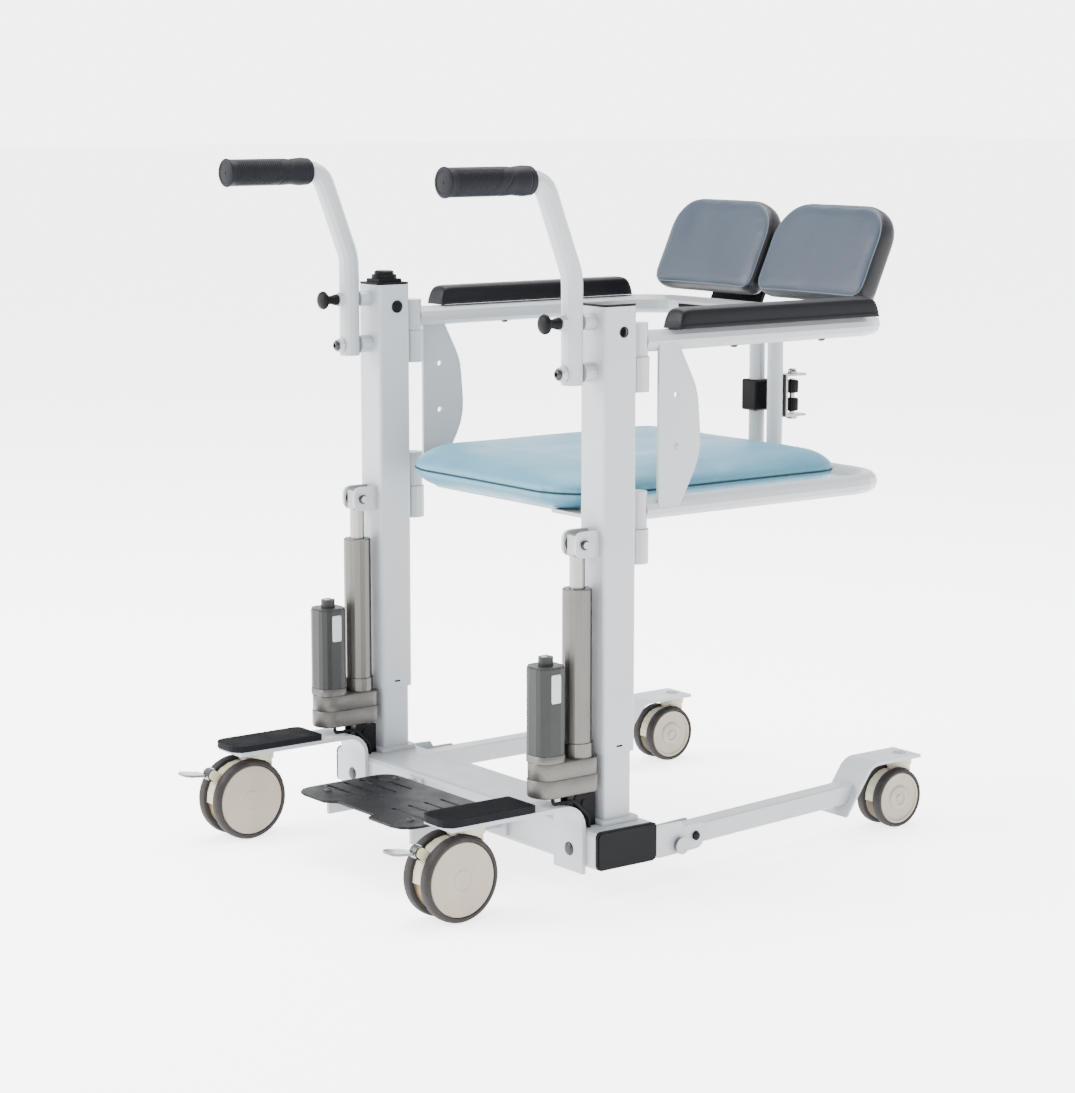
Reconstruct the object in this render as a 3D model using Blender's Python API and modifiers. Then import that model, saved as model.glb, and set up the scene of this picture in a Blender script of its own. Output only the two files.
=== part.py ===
"""Sit-to-stand lift: a wheeled base, two telescopic columns raised by linear actuators, two swing gates that
carry the arms and the back pads, a seat cushion between them, and two folding push handles.

Metres, +Z up. +X is the right-hand side as seen from the front, -Y is the front, and the floor is Z = 0.
A side argument is +1 for the right and -1 for the left."""

import math

import bmesh
import bpy
from mathutils import Matrix, Vector

GAP = 0.0003  # clearance between pieces that touch

# Telescopic columns
COLUMN_X = 0.226
OUTER_WIDTH = 0.046
OUTER_WALL = 0.0025
OUTER_BOTTOM = 0.1636
OUTER_TOP = 0.677
INNER_WIDTH = 0.040
INNER_TOP = 0.640
SIDE_HOLE = (0.0037, 0.648)
SIDE_HOLE_RADIUS = 0.0055

# Crossbar
BAR_HALF = 0.268
BAR_FRONT = -0.050
BAR_REAR = 0.038
BAR_BOTTOM = 0.035
BAR_TOP = 0.081
BAR_WALL = 0.003
COLUMN_FLANGE = 0.054
FLANGE_THICK = 0.005

# Front legs and footplate
LEG_X = 0.2235
LEG_WIDTH = 0.054
LEG_THICK = 0.005
LEG_TOP = 0.112
LEG_FOOT = 0.0285
LEG_FRONT = -0.238
TREAD_FRONT = -0.246
TREAD_REAR = -0.1195
TREAD_TOP = 0.120
FOOTPLATE_TOP = 0.079
FOOTPLATE_THICK = 0.003
FOOTPLATE_HALF = 0.117
FOOTPLATE_FRONT = -0.213
FOOTPLATE_REAR = -0.072
SUPPORT_X = 0.088
SUPPORT_FRONT = -0.182

# Rear legs
REAR_LEG = (0.2430, 0.081, 0.0492)
REAR_BOLT = (0.001, -0.0065)
REAR_LOCK = (0.028, 0.000)
REAR_BOLT_RADIUS = 0.004
REAR_LOCK_RADIUS = 0.0056
REAR_TOE = math.radians(3.3)
REAR_RISE = math.radians(1.0)
REAR_TUBE = 0.024
REAR_PLATE_X = 0.2235
REAR_PLATE_WIDTH = 0.050
REAR_PLATE_TOP = 0.091
REAR_PLATE_END = 0.4885

# Casters: swivel axis, axle offset ahead of it, wheel radius
FRONT_SWIVEL_Y = -0.200
FRONT_AXLE_Y = -0.2211
FRONT_RADIUS = 0.050
FRONT_HALF_WIDTH = 0.0243
FRONT_WEB = 0.0090
REAR_SWIVEL_Y = 0.474
REAR_AXLE_Y = 0.458
REAR_RADIUS = 0.0375
REAR_HALF_WIDTH = 0.0205
REAR_WEB = 0.0072
PEDAL_AXIS = (-0.2655, 0.0845)

# Actuators
TUBE_Y = -0.0445
MOTOR_Y = -0.0895
ACTUATOR_RADIUS = 0.0173
ACTUATOR_TOP = 0.358
ROD_RADIUS = 0.009
ROD_BOTTOM = 0.186
CLEVIS_Z = 0.409
LUG_Z = 0.1095
GEARBOX_BOTTOM = 0.122
GEARBOX_RADIUS = 0.0215

# Push handles
HANDLE_Y = -0.0525
HANDLE_RADIUS = 0.0125
HANDLE_BOTTOM = 0.590
HANDLE_PIVOT_Z = 0.603
HANDLE_LOCK_Z = 0.660
GRIP_Z = 0.8188
GRIP_FRONT = -0.2285
GRIP_REAR = -0.1106
GRIP_RADIUS = 0.0172

# Gates
HINGE_Y = 0.041
BARREL_RADIUS = 0.0130
COLUMN_BARREL_RADIUS = 0.015
ARM_Z = 0.634
SEAT_TUBE_Z = 0.440
REAR_TUBE_Y = 0.4415
REAR_TUBE_X = 0.0175
GATE_TUBE_RADIUS = 0.0125
REAR_TUBE_RADIUS = 0.0102
GATE_BEND = 0.058
UPPER_BARREL = (0.6173, 0.656)
LOWER_BARREL = (0.4187, 0.462)
SIDE_PLATE_X = 0.236

# Upholstery
SEAT_HALF = 0.200
SEAT_FRONT = -0.030
SEAT_REAR = 0.420
SEAT_BOTTOM = 0.433
SEAT_TOP = 0.481
ARM_PAD_X = 0.2364
BACK_FOOT = (0.440, 0.6492)
BACK_LEAN = math.radians(24.8)
BACK_WIDTH = 0.2015
BACK_HEIGHT = 0.129
BACK_THICK = 0.034

WHITE = ("powder_coat_white", (0.80, 0.82, 0.84), 0.38, 0.0)
BLACK = ("black_plastic", (0.022, 0.023, 0.026), 0.5, 0.0)
RUBBER = ("grip_rubber", (0.030, 0.031, 0.034), 0.7, 0.0)
STEEL = ("zinc_steel", (0.62, 0.62, 0.60), 0.3, 1.0)
SILVER = ("anodised_aluminium", (0.60, 0.59, 0.57), 0.35, 1.0)
CAST = ("cast_housing", (0.45, 0.45, 0.44), 0.5, 0.6)
MOTOR = ("motor_shell", (0.22, 0.23, 0.24), 0.45, 0.6)
PLATE = ("black_powder_coat", (0.035, 0.037, 0.042), 0.45, 0.2)
CREAM = ("caster_plastic", (0.62, 0.56, 0.46), 0.45, 0.0)
TYRE = ("tyre_rubber", (0.12, 0.10, 0.095), 0.75, 0.0)
SEAT_VINYL = ("seat_vinyl", (0.22, 0.42, 0.48), 0.45, 0.0)
BACK_VINYL = ("back_vinyl", (0.16, 0.19, 0.23), 0.5, 0.0)


# ---------------------------------------------------------------- tools


def clear_scene():
    for obj in list(bpy.data.objects):
        bpy.data.objects.remove(obj, do_unlink=True)


def collection(name):
    made = bpy.data.collections.new(name)
    bpy.context.scene.collection.children.link(made)
    return made


def material(spec):
    name, colour, roughness, metallic = spec
    found = bpy.data.materials.get(name)
    if found:
        return found
    made = bpy.data.materials.new(name)
    made.use_nodes = True
    shader = made.node_tree.nodes["Principled BSDF"]
    shader.inputs["Base Color"].default_value = (*colour, 1.0)
    shader.inputs["Roughness"].default_value = roughness
    shader.inputs["Metallic"].default_value = metallic
    return made


def temporary(mesh):
    obj = bpy.data.objects.new("shape", mesh)
    bpy.context.scene.collection.objects.link(obj)
    return obj


def from_bmesh(bm):
    bmesh.ops.recalc_face_normals(bm, faces=bm.faces[:])
    mesh = bpy.data.meshes.new("shape")
    bm.to_mesh(mesh)
    bm.free()
    return temporary(mesh)


def evaluated_mesh(obj):
    bpy.context.view_layer.update()
    graph = bpy.context.evaluated_depsgraph_get()
    return bpy.data.meshes.new_from_object(obj.evaluated_get(graph))


def box(low, high, bevel=0.0, segments=1):
    """A box between two corners, with its edges rounded by bevel."""
    bm = bmesh.new()
    bmesh.ops.create_cube(bm, size=1.0)
    low, high = Vector(low), Vector(high)
    bmesh.ops.scale(bm, vec=high - low, verts=bm.verts)
    bmesh.ops.translate(bm, vec=(low + high) / 2, verts=bm.verts)
    if bevel:
        bmesh.ops.bevel(bm, geom=bm.edges[:], offset=bevel, segments=segments, profile=0.5, affect="EDGES")
    return from_bmesh(bm)


def rod(start, end, radius, sides=14, end_radius=None):
    """A cylinder, or a cone with end_radius, from one point to another."""
    start, end = Vector(start), Vector(end)
    bm = bmesh.new()
    bmesh.ops.create_cone(
        bm,
        cap_ends=True,
        segments=sides,
        radius1=radius,
        radius2=radius if end_radius is None else end_radius,
        depth=(end - start).length,
    )
    turn = Vector((0, 0, 1)).rotation_difference(end - start).to_matrix().to_4x4()
    bmesh.ops.transform(bm, matrix=Matrix.Translation((start + end) / 2) @ turn, verts=bm.verts)
    return from_bmesh(bm)


def rounded(corners, steps=5):
    """Points of a closed outline whose corners (a, b, radius) are rounded with arcs."""
    points = []
    for index, (a, b, radius) in enumerate(corners):
        here = Vector((a, b))
        if radius <= 0:
            points.append(here)
            continue
        before = (Vector(corners[index - 1][:2]) - here).normalized()
        after = (Vector(corners[(index + 1) % len(corners)][:2]) - here).normalized()
        half = before.angle(after) / 2
        centre = here + (before + after).normalized() * (radius / math.sin(half))
        first = here + before * (radius / math.tan(half)) - centre
        last = here + after * (radius / math.tan(half)) - centre
        sweep = first.angle_signed(last)
        for step in range(steps + 1):
            points.append(centre + Matrix.Rotation(-sweep * step / steps, 2) @ first)
    return points


def rectangle(low, high, radius=0.0, steps=2):
    (a, b), (c, d) = low, high
    return rounded([(a, b, radius), (c, b, radius), (c, d, radius), (a, d, radius)], steps)


def circle(a, b, radius, sides=12):
    turns = [2 * math.pi * step / sides for step in range(sides)]
    return [Vector((a + radius * math.cos(turn), b + radius * math.sin(turn))) for turn in turns]


def slab(outlines, thickness, place):
    """A flat plate centred on its plane: the first outline is its edge, the others are holes."""
    curve = bpy.data.curves.new("outline", "CURVE")
    curve.dimensions = "2D"
    curve.fill_mode = "BOTH"
    curve.extrude = thickness / 2
    for outline in outlines:
        spline = curve.splines.new("POLY")
        spline.points.add(len(outline) - 1)
        for point, (a, b) in zip(spline.points, outline):
            point.co = (a, b, 0, 1)
        spline.use_cyclic_u = True
    source = temporary(curve)
    mesh = evaluated_mesh(source)
    bpy.data.objects.remove(source, do_unlink=True)
    bm = bmesh.new()
    bm.from_mesh(mesh)
    bmesh.ops.remove_doubles(bm, verts=bm.verts, dist=1e-6)
    bmesh.ops.transform(bm, matrix=place, verts=bm.verts)
    return from_bmesh(bm)


def across_x(x):
    """The plane of a slab drawn in Y and Z, at X = x."""
    return Matrix.Translation((x, 0, 0)) @ Matrix(((0, 0, 1, 0), (1, 0, 0, 0), (0, 1, 0, 0), (0, 0, 0, 1)))


def level(z):
    """The plane of a slab drawn in X and Y, at Z = z."""
    return Matrix.Translation((0, 0, z))


def flat_plate(outlines, low, high):
    """A slab drawn in X and Y between two heights."""
    return slab(outlines, high - low, level((low + high) / 2))


def side_plate(outlines, x_low, x_high):
    """A slab drawn in Y and Z between two values of X."""
    return slab(outlines, abs(x_high - x_low), across_x((x_low + x_high) / 2))


def bent_path(corners, steps=5):
    """Points of an open path whose inner corners (x, y, z, radius) are rounded with arcs."""
    points = [Vector(corners[0][:3])]
    for index in range(1, len(corners) - 1):
        here, radius = Vector(corners[index][:3]), corners[index][3]
        before = (Vector(corners[index - 1][:3]) - here).normalized()
        after = (Vector(corners[index + 1][:3]) - here).normalized()
        half = before.angle(after) / 2
        centre = here + (before + after).normalized() * (radius / math.sin(half))
        first = here + before * (radius / math.tan(half)) - centre
        last = here + after * (radius / math.tan(half)) - centre
        for step in range(steps + 1):
            points.append(centre + first.normalized().slerp(last.normalized(), step / steps) * radius)
    points.append(Vector(corners[-1][:3]))
    return points


def pipe(points, radius, resolution=4):
    """A solid round bar along a path."""
    curve = bpy.data.curves.new("path", "CURVE")
    curve.dimensions = "3D"
    curve.bevel_depth = radius
    curve.bevel_resolution = resolution
    curve.use_fill_caps = True
    spline = curve.splines.new("POLY")
    spline.points.add(len(points) - 1)
    for point, place in zip(spline.points, points):
        point.co = (*place, 1)
    source = temporary(curve)
    mesh = evaluated_mesh(source)
    bpy.data.objects.remove(source, do_unlink=True)
    bm = bmesh.new()
    bm.from_mesh(mesh)
    bmesh.ops.remove_doubles(bm, verts=bm.verts, dist=1e-6)
    return from_bmesh(bm)


def turned(profile, place, steps=16):
    """A placed solid of revolution about Z, from (radius, height) points that run down its outer side."""
    mesh = bpy.data.meshes.new("profile")
    points = [(radius, 0, height) for radius, height in profile]
    mesh.from_pydata(points, [(i, i + 1) for i in range(len(points) - 1)], [])
    source = temporary(mesh)
    screw = source.modifiers.new("turn", "SCREW")
    screw.steps = steps
    screw.render_steps = steps
    screw.use_merge_vertices = True
    screw.merge_threshold = 1e-5
    made = evaluated_mesh(source)
    bpy.data.objects.remove(source, do_unlink=True)
    bm = bmesh.new()
    bm.from_mesh(made)
    bmesh.ops.remove_doubles(bm, verts=bm.verts, dist=1e-6)
    bmesh.ops.transform(bm, matrix=place, verts=bm.verts)
    return from_bmesh(bm)


def combine(target, others, operation):
    """The target joined with the others, or cut by them, which are used up."""
    for other in others:
        step = target.modifiers.new("step", "BOOLEAN")
        step.operation = operation
        step.solver = "EXACT"
        step.object = other
        mesh = evaluated_mesh(target)
        target.modifiers.clear()
        target.data = mesh
        bpy.data.objects.remove(other, do_unlink=True)
    return target


def join(target, *others):
    return combine(target, others, "UNION")


def cut(target, *others):
    return combine(target, others, "DIFFERENCE")


def moved(obj, place):
    obj.data.transform(place)
    if place.determinant() < 0:
        obj.data.flip_normals()
    return obj


def tidy(mesh):
    """Merges the nearly coincident vertices that Booleans leave where edges meet."""
    bm = bmesh.new()
    bm.from_mesh(mesh)
    bmesh.ops.remove_doubles(bm, verts=bm.verts, dist=4e-6)
    bmesh.ops.dissolve_degenerate(bm, dist=2e-6, edges=bm.edges)
    bm.to_mesh(mesh)
    bm.free()


def finish(obj, name, spec, parent, home):
    """Names the shape, gives it its material and hangs it on the empty of its moving group."""
    tidy(obj.data)
    obj.name = name
    obj.data.name = name
    obj.data.materials.clear()
    obj.data.materials.append(material(spec))
    obj.data.shade_smooth()
    obj.data.set_sharp_from_angle(angle=math.radians(34))
    bpy.context.scene.collection.objects.unlink(obj)
    home.objects.link(obj)
    obj.parent = parent
    obj.matrix_parent_inverse = parent.matrix_world.inverted()
    return obj


def pivot(name, place, parent, home):
    """An empty on a joint's axis, which the pieces of that moving group hang on."""
    empty = bpy.data.objects.new(name, None)
    empty.empty_display_size = 0.03
    home.objects.link(empty)
    empty.location = place
    bpy.context.view_layer.update()
    if parent:
        empty.parent = parent
        empty.matrix_parent_inverse = parent.matrix_world.inverted()
        bpy.context.view_layer.update()
    return empty


def letter(side):
    return "R" if side > 0 else "L"


# ---------------------------------------------------------------- base


def rear_leg_frame(side):
    """The frame of one rear leg: the leg runs along +Y on its axis, toed in and rising a little."""
    x, y, z = REAR_LEG
    turn = Matrix.Rotation(side * REAR_TOE, 4, "Z") @ Matrix.Rotation(REAR_RISE, 4, "X")
    return Matrix.Translation((side * x, y, z)) @ turn


def crossbar():
    outer = rectangle((BAR_FRONT, BAR_BOTTOM), (BAR_REAR, BAR_TOP), 0.006)
    inner = rectangle(
        (BAR_FRONT + BAR_WALL, BAR_BOTTOM + BAR_WALL), (BAR_REAR - BAR_WALL, BAR_TOP - BAR_WALL), 0.003, 1
    )
    bar = side_plate([outer, inner], -BAR_HALF, BAR_HALF)
    top = FOOTPLATE_TOP - FOOTPLATE_THICK - GAP
    for side in (1, -1):
        x = side * SUPPORT_X
        blade = rectangle((SUPPORT_FRONT, 0.050), (BAR_FRONT + BAR_WALL / 2, top))
        foot = rectangle((BAR_FRONT - 0.004, 0.042), (BAR_FRONT + BAR_WALL / 2, top))
        upright = side_plate([blade], x - 0.0025, x + 0.0025)
        bar = join(bar, upright, side_plate([foot], x - 0.014, x + 0.014))
        near = [(-0.0445, -0.0130, 0), (-0.030, -0.0165, 0.006)]
        near += [(0.041, -0.0165, 0.011), (0.041, 0.0135, 0.003)]
        outer_edge = rounded([*near, (0.0100, 0.0135, 0), (0.0060, 0.0210, 0), (-0.0445, 0.0230, 0)], 3)
        inner_edge = rounded([*near, (-0.0445, 0.0135, 0)], 3)
        bolt = circle(*REAR_BOLT, REAR_BOLT_RADIUS + 0.0004)
        lock = circle(*REAR_LOCK, REAR_LOCK_RADIUS)
        half = REAR_TUBE / 2 + GAP
        outer_plate = side_plate([outer_edge, bolt, lock], side * half, side * (half + 0.003))
        inner_plate = side_plate([inner_edge, bolt], -side * half, -side * (half + 0.003))
        bar = join(bar, moved(outer_plate, rear_leg_frame(side)), moved(inner_plate, rear_leg_frame(side)))
    return bar


def crossbar_cap(side):
    """A ribbed plastic plug with a stepped flange."""
    x = BAR_HALF + GAP
    low, high = (BAR_FRONT, BAR_BOTTOM), (BAR_REAR, BAR_TOP)
    flange = side_plate([rectangle(low, high, 0.006)], x, x + 0.0028)
    face = rectangle((low[0] + 0.0022, low[1] + 0.0022), (high[0] - 0.0022, high[1] - 0.0022), 0.005)
    inset = BAR_WALL + 0.0010
    plug = rectangle((low[0] + inset, low[1] + inset), (high[0] - inset, high[1] - inset), 0.003)
    cap = join(flange, side_plate([face], x + 0.001, x + 0.004), side_plate([plug], x - 0.012, x + 0.001))
    return moved(cap, Matrix.Scale(side, 4, (1, 0, 0)))


def front_leg(side):
    """A plate bolted to the crossbar's front that bends forward over the caster."""
    back, front = BAR_FRONT - GAP, BAR_FRONT - GAP - LEG_THICK
    under = LEG_TOP - LEG_THICK
    outline = rounded(
        [
            (back, LEG_FOOT, 0),
            (back, LEG_TOP, 0.028),
            (LEG_FRONT, LEG_TOP, 0),
            (LEG_FRONT, under, 0),
            (front, under, 0.023),
            (front, LEG_FOOT, 0),
        ],
        6,
    )
    leg = side_plate([outline], side * LEG_X - LEG_WIDTH / 2, side * LEG_X + LEG_WIDTH / 2)
    stem = rod((side * LEG_X, FRONT_SWIVEL_Y, 0.10), (side * LEG_X, FRONT_SWIVEL_Y, 0.13), 0.0066)
    return cut(leg, stem)


def tread_pad(side):
    half = 0.0283
    outline = rounded(
        [
            (side * (LEG_X - half), TREAD_REAR, 0.003),
            (side * (LEG_X + half), TREAD_REAR, 0.008),
            (side * (LEG_X + half), TREAD_FRONT, 0.017),
            (side * (LEG_X - half), TREAD_FRONT, 0.017),
        ],
        4,
    )
    return flat_plate([outline], LEG_TOP + GAP, TREAD_TOP)


def footplate():
    """A thin plate with a shallow notch in its front edge and two ladders of slots."""
    half, front, rear = FOOTPLATE_HALF, FOOTPLATE_FRONT, FOOTPLATE_REAR
    notch, depth = 0.043, 0.012
    edge = rounded(
        [
            (half, front, 0.024),
            (half, rear, 0.020),
            (-half, rear, 0.020),
            (-half, front, 0.024),
            (-notch - 0.006, front, 0.008),
            (-notch + 0.006, front + depth, 0.008),
            (notch - 0.002, front + depth, 0.004),
            (notch + 0.002, front, 0.004),
        ],
        3,
    )
    holes = []
    for side in (1, -1):
        for row in range(4):
            y = -0.168 + row * 0.0232
            middle = side * 0.0695
            holes.append(rectangle((middle - 0.0395, y - 0.0026), (middle + 0.0395, y + 0.0026), 0.0025))
    return flat_plate([edge, *holes], FOOTPLATE_TOP - FOOTPLATE_THICK, FOOTPLATE_TOP)


def inner_column(side):
    """The fixed column, standing on a flange."""
    x = side * COLUMN_X
    half = INNER_WIDTH / 2
    wall = half - 0.0025
    foot = BAR_TOP + GAP
    outer = rectangle((x - half, -half), (x + half, half), 0.004)
    hollow = rectangle((x - wall, -wall), (x + wall, wall), 0.002, 1)
    reach = COLUMN_FLANGE / 2
    seat = half - 0.0012
    edge = rectangle((x - reach, -reach), (x + reach, reach), 0.004)
    opening = rectangle((x - seat, -seat), (x + seat, seat))
    flange = flat_plate([edge, opening], foot + 0.0001, foot + FLANGE_THICK)
    return join(flat_plate([outer, hollow], foot, INNER_TOP), flange)


def lower_bracket(side):
    """A fork that holds the foot of the actuator on its bolt."""
    x = side * COLUMN_X
    foot = BAR_TOP + GAP
    rear = -COLUMN_FLANGE / 2 - 0.001
    front = BAR_FRONT + 0.007
    base = box((x - 0.0120, front + 0.001, foot), (x + 0.0120, rear - 0.0005, foot + 0.004))
    edge = [(rear, foot + 0.0002, 0), (front, foot + 0.0002, 0)]
    edge += [(-0.0575, 0.1080, 0.004), (-0.0575, 0.1195, 0.003)]
    cheek = rounded([*edge, (rear, 0.1195, 0.002)], 2)
    for near in (-0.0140, 0.0105):
        base = join(base, side_plate([cheek], x + near, x + near + 0.0035))
    return join(base, rod((x - 0.0155, TUBE_Y, LUG_Z), (x + 0.0155, TUBE_Y, LUG_Z), 0.004, 12))


def racetrack(x, radius, grow=0.0):
    """The outline round the motor's and the tube's axes."""
    reach = radius + grow
    return rounded(
        [
            (x - reach, MOTOR_Y - reach, reach),
            (x + reach, MOTOR_Y - reach, reach),
            (x + reach, TUBE_Y + reach - 0.0005, reach * 0.6),
            (x - reach, TUBE_Y + reach - 0.0005, reach * 0.6),
        ],
        4,
    )


def actuator_gearbox(side):
    """A two-shell cast box under the motor and the tube, with a lug for the lower bolt."""
    x = side * COLUMN_X
    lower = flat_plate([racetrack(x, GEARBOX_RADIUS)], GEARBOX_BOTTOM, 0.1432)
    upper = flat_plate([racetrack(x, GEARBOX_RADIUS - 0.0007)], 0.1425, 0.163)
    half = 0.0195
    square = rectangle((x - half, MOTOR_Y - half), (x + half, MOTOR_Y + half), 0.0125, 3)
    collar = flat_plate([square], 0.162, 0.1716)
    lug = box((x - 0.009, TUBE_Y - 0.008, 0.101), (x + 0.009, TUBE_Y + 0.008, 0.124), 0.0015)
    body = join(lower, upper, collar, lug)
    return cut(body, rod((x - 0.03, TUBE_Y, LUG_Z), (x + 0.03, TUBE_Y, LUG_Z), 0.0044, 12))


def actuator_motor(side):
    """The motor's flat-sided shell, with a bearing boss on top."""
    x = side * COLUMN_X
    shell = None
    for half, radius, low, high in ((0.019, 0.012, 0.1716 + GAP, 0.272), (0.018, 0.011, 0.271, 0.2742)):
        outline = rectangle((x - half, MOTOR_Y - half), (x + half, MOTOR_Y + half), radius, 3)
        layer = flat_plate([outline], low, high)
        shell = join(shell, layer) if shell else layer
    return join(shell, rod((x, MOTOR_Y, 0.273), (x, MOTOR_Y, 0.284), 0.0088))


def actuator_tube(side):
    """The drive tube: a lower collar and a long sleeve that the rod slides in."""
    bore = ROD_RADIUS + 0.0005
    low = 0.163 + GAP
    profile = [
        (0, ROD_BOTTOM - 0.004),
        (bore, ROD_BOTTOM - 0.004),
        (bore, ACTUATOR_TOP),
        (ACTUATOR_RADIUS - 0.001, ACTUATOR_TOP),
        (ACTUATOR_RADIUS, ACTUATOR_TOP - 0.001),
        (ACTUATOR_RADIUS, 0.180),
        (ACTUATOR_RADIUS + 0.0016, 0.1795),
        (ACTUATOR_RADIUS + 0.0016, low),
        (0, low),
    ]
    return turned(profile, Matrix.Translation((side * COLUMN_X, TUBE_Y, 0)))


def actuator_cable(side):
    """The short lead from the gearbox's underside, behind the leg's bend, into the crossbar."""
    x = side * COLUMN_X + 0.0187
    route = [
        (x, MOTOR_Y - 0.004, GEARBOX_BOTTOM - GAP, 0),
        (x, MOTOR_Y - 0.004, 0.1158, 0.004),
        (x, -0.0640, 0.1158, 0.010),
        (x, -0.0410, 0.0930, 0.012),
        (x, -0.0410, BAR_TOP + GAP, 0),
    ]
    return pipe(bent_path(route, 3), 0.0022, 2)


def rear_leg(side):
    """A square tube on the bracket bolt, ending in a bent plate that rises over the caster."""
    place = rear_leg_frame(side)
    half = REAR_TUBE / 2
    tube = moved(box((-half, -0.014, -half), (half, 0.302, half), 0.0015), place)
    low, high = REAR_PLATE_X - REAR_PLATE_WIDTH / 2, REAR_PLATE_X + REAR_PLATE_WIDTH / 2
    top, thick = REAR_PLATE_TOP, 0.004
    outline = rounded(
        [
            (0.3600, 0.0290, 0),
            (0.4040, top, 0.026),
            (REAR_PLATE_END, top, 0),
            (REAR_PLATE_END, top - thick, 0),
            (0.4060, top - thick, 0.022),
            (0.3640, 0.0290, 0),
        ],
        4,
    )
    plate = side_plate([outline], side * low, side * high)
    stem = rod((side * REAR_PLATE_X, REAR_SWIVEL_Y, 0.08), (side * REAR_PLATE_X, REAR_SWIVEL_Y, 0.10), 0.0088)
    bolt = moved(rod((-0.03, *REAR_BOLT), (0.03, *REAR_BOLT), REAR_BOLT_RADIUS + 0.0004, 12), place)
    lock = moved(rod((0, *REAR_LOCK), (side * 0.03, *REAR_LOCK), REAR_LOCK_RADIUS, 12), place)
    return cut(join(plate, tube), stem, bolt, lock)


def rear_leg_bolt(side):
    """The bolt through the bracket and the leg, with its spacer, washer and nut."""
    half = REAR_TUBE / 2 + 2 * GAP + 0.003
    spacer = rod((half, 0, 0), (half + 0.0052, 0, 0), 0.0085, 16)
    washer = rod((half + 0.0050, 0, 0), (half + 0.0068, 0, 0), 0.0104, 20)
    shank = rod((-half - 0.001, 0, 0), (half + 0.001, 0, 0), REAR_BOLT_RADIUS, 10)
    nut = rod((-half - 0.006, 0, 0), (-half, 0, 0), 0.0072, 6)
    body = join(spacer, washer, shank, nut)
    place = rear_leg_frame(side) @ Matrix.Translation((0, *REAR_BOLT)) @ Matrix.Scale(side, 4, (1, 0, 0))
    return moved(body, place)


# ---------------------------------------------------------------- carriages


def outer_column(side):
    """The sliding column with its actuator fork, handle bosses and hinge barrels."""
    x = side * COLUMN_X
    half = OUTER_WIDTH / 2
    inner = half - OUTER_WALL
    edge = rectangle((x - half, -half), (x + half, half), 0.004)
    hollow = rectangle((x - inner, -inner), (x + inner, inner))
    column = flat_plate([edge, hollow], OUTER_BOTTOM, OUTER_TOP)
    face = -half + OUTER_WALL / 2
    nose = [(-0.0570, 0.394, 0.010), (-0.0570, 0.424, 0.010)]
    fork = rounded([(face, 0.394, 0), *nose, (face, 0.424, 0)], 3)
    for near in (-0.0135, 0.0095):
        column = join(column, side_plate([fork], x + near, x + near + 0.004))
    column = join(column, rod((x - 0.0185, TUBE_Y, CLEVIS_Z), (x + 0.0185, TUBE_Y, CLEVIS_Z), 0.0042, 12))
    tangent = HANDLE_Y + HANDLE_RADIUS + GAP
    front = HANDLE_Y - HANDLE_RADIUS - GAP
    boss = rod((x, face, HANDLE_PIVOT_Z), (x, tangent, HANDLE_PIVOT_Z), 0.011)
    stud = rod((x, tangent + 0.002, HANDLE_PIVOT_Z), (x, front - 0.001, HANDLE_PIVOT_Z), 0.005, 10)
    head = rod((x, front, HANDLE_PIVOT_Z), (x, front - 0.0055, HANDLE_PIVOT_Z), 0.0095, 14, 0.0075)
    lock = cut(
        rod((x, face, HANDLE_LOCK_Z), (x, tangent, HANDLE_LOCK_Z), 0.0095),
        rod((x, -0.029, HANDLE_LOCK_Z), (x, tangent - 0.005, HANDLE_LOCK_Z), 0.0036, 10),
    )
    column = join(column, boss, stud, head, lock)
    for low, high in (UPPER_BARREL, LOWER_BARREL):
        top = low - GAP
        barrel = rod((x, HINGE_Y, top - 0.040), (x, HINGE_Y, top), COLUMN_BARREL_RADIUS)
        web = box((x - 0.006, half - OUTER_WALL / 2, top - 0.038), (x + 0.006, HINGE_Y - 0.010, top - 0.002))
        pin = rod((x, HINGE_Y, top - 0.004), (x, HINGE_Y, high - 0.004), 0.006, 10)
        column = join(column, barrel, web, pin)
    y, z = SIDE_HOLE
    slot = box((x + half - 0.004, -0.0045, 0.1705), (x + half + 0.002, 0.0045, 0.1727))
    return cut(column, rod((x, y, z), (x + 0.03, y, z), SIDE_HOLE_RADIUS, 12), slot)


def column_cap(side):
    """The plug in the column's top: flush on the right, a stepped stack on the left."""
    x = side * COLUMN_X
    half = OUTER_WIDTH / 2
    inner = half - OUTER_WALL - GAP
    low = OUTER_TOP + GAP
    flange = flat_plate([rectangle((x - half, -half), (x + half, half), 0.004)], low, low + 0.0024)
    plug = flat_plate([rectangle((x - inner, -inner), (x + inner, inner))], low - 0.012, low + 0.001)
    cap = join(flange, plug)
    if side > 0:
        return cap
    step = half - 0.006
    collar = flat_plate([rectangle((x - step, -step), (x + step, step), 0.003, 1)], low + 0.002, low + 0.0065)
    profile = [(0, low + 0.0165), (0.0105, low + 0.0165), (0.0125, low + 0.0150), (0.0125, low + 0.0120)]
    profile += [(0.0160, low + 0.0115), (0.0160, low + 0.0055), (0, low + 0.0055)]
    return join(cap, collar, turned(profile, Matrix.Translation((x, 0, 0))))


def actuator_rod(side):
    """The piston rod and its eye, which push the column up."""
    x = side * COLUMN_X
    bar = rod((x, TUBE_Y, ROD_BOTTOM), (x, TUBE_Y, 0.397), ROD_RADIUS, 16)
    eye = box((x - 0.0088, TUBE_Y - 0.0095, 0.395), (x + 0.0088, TUBE_Y + 0.0095, 0.4215), 0.002)
    return cut(join(bar, eye), rod((x - 0.03, TUBE_Y, CLEVIS_Z), (x + 0.03, TUBE_Y, CLEVIS_Z), 0.0048, 12))


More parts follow.
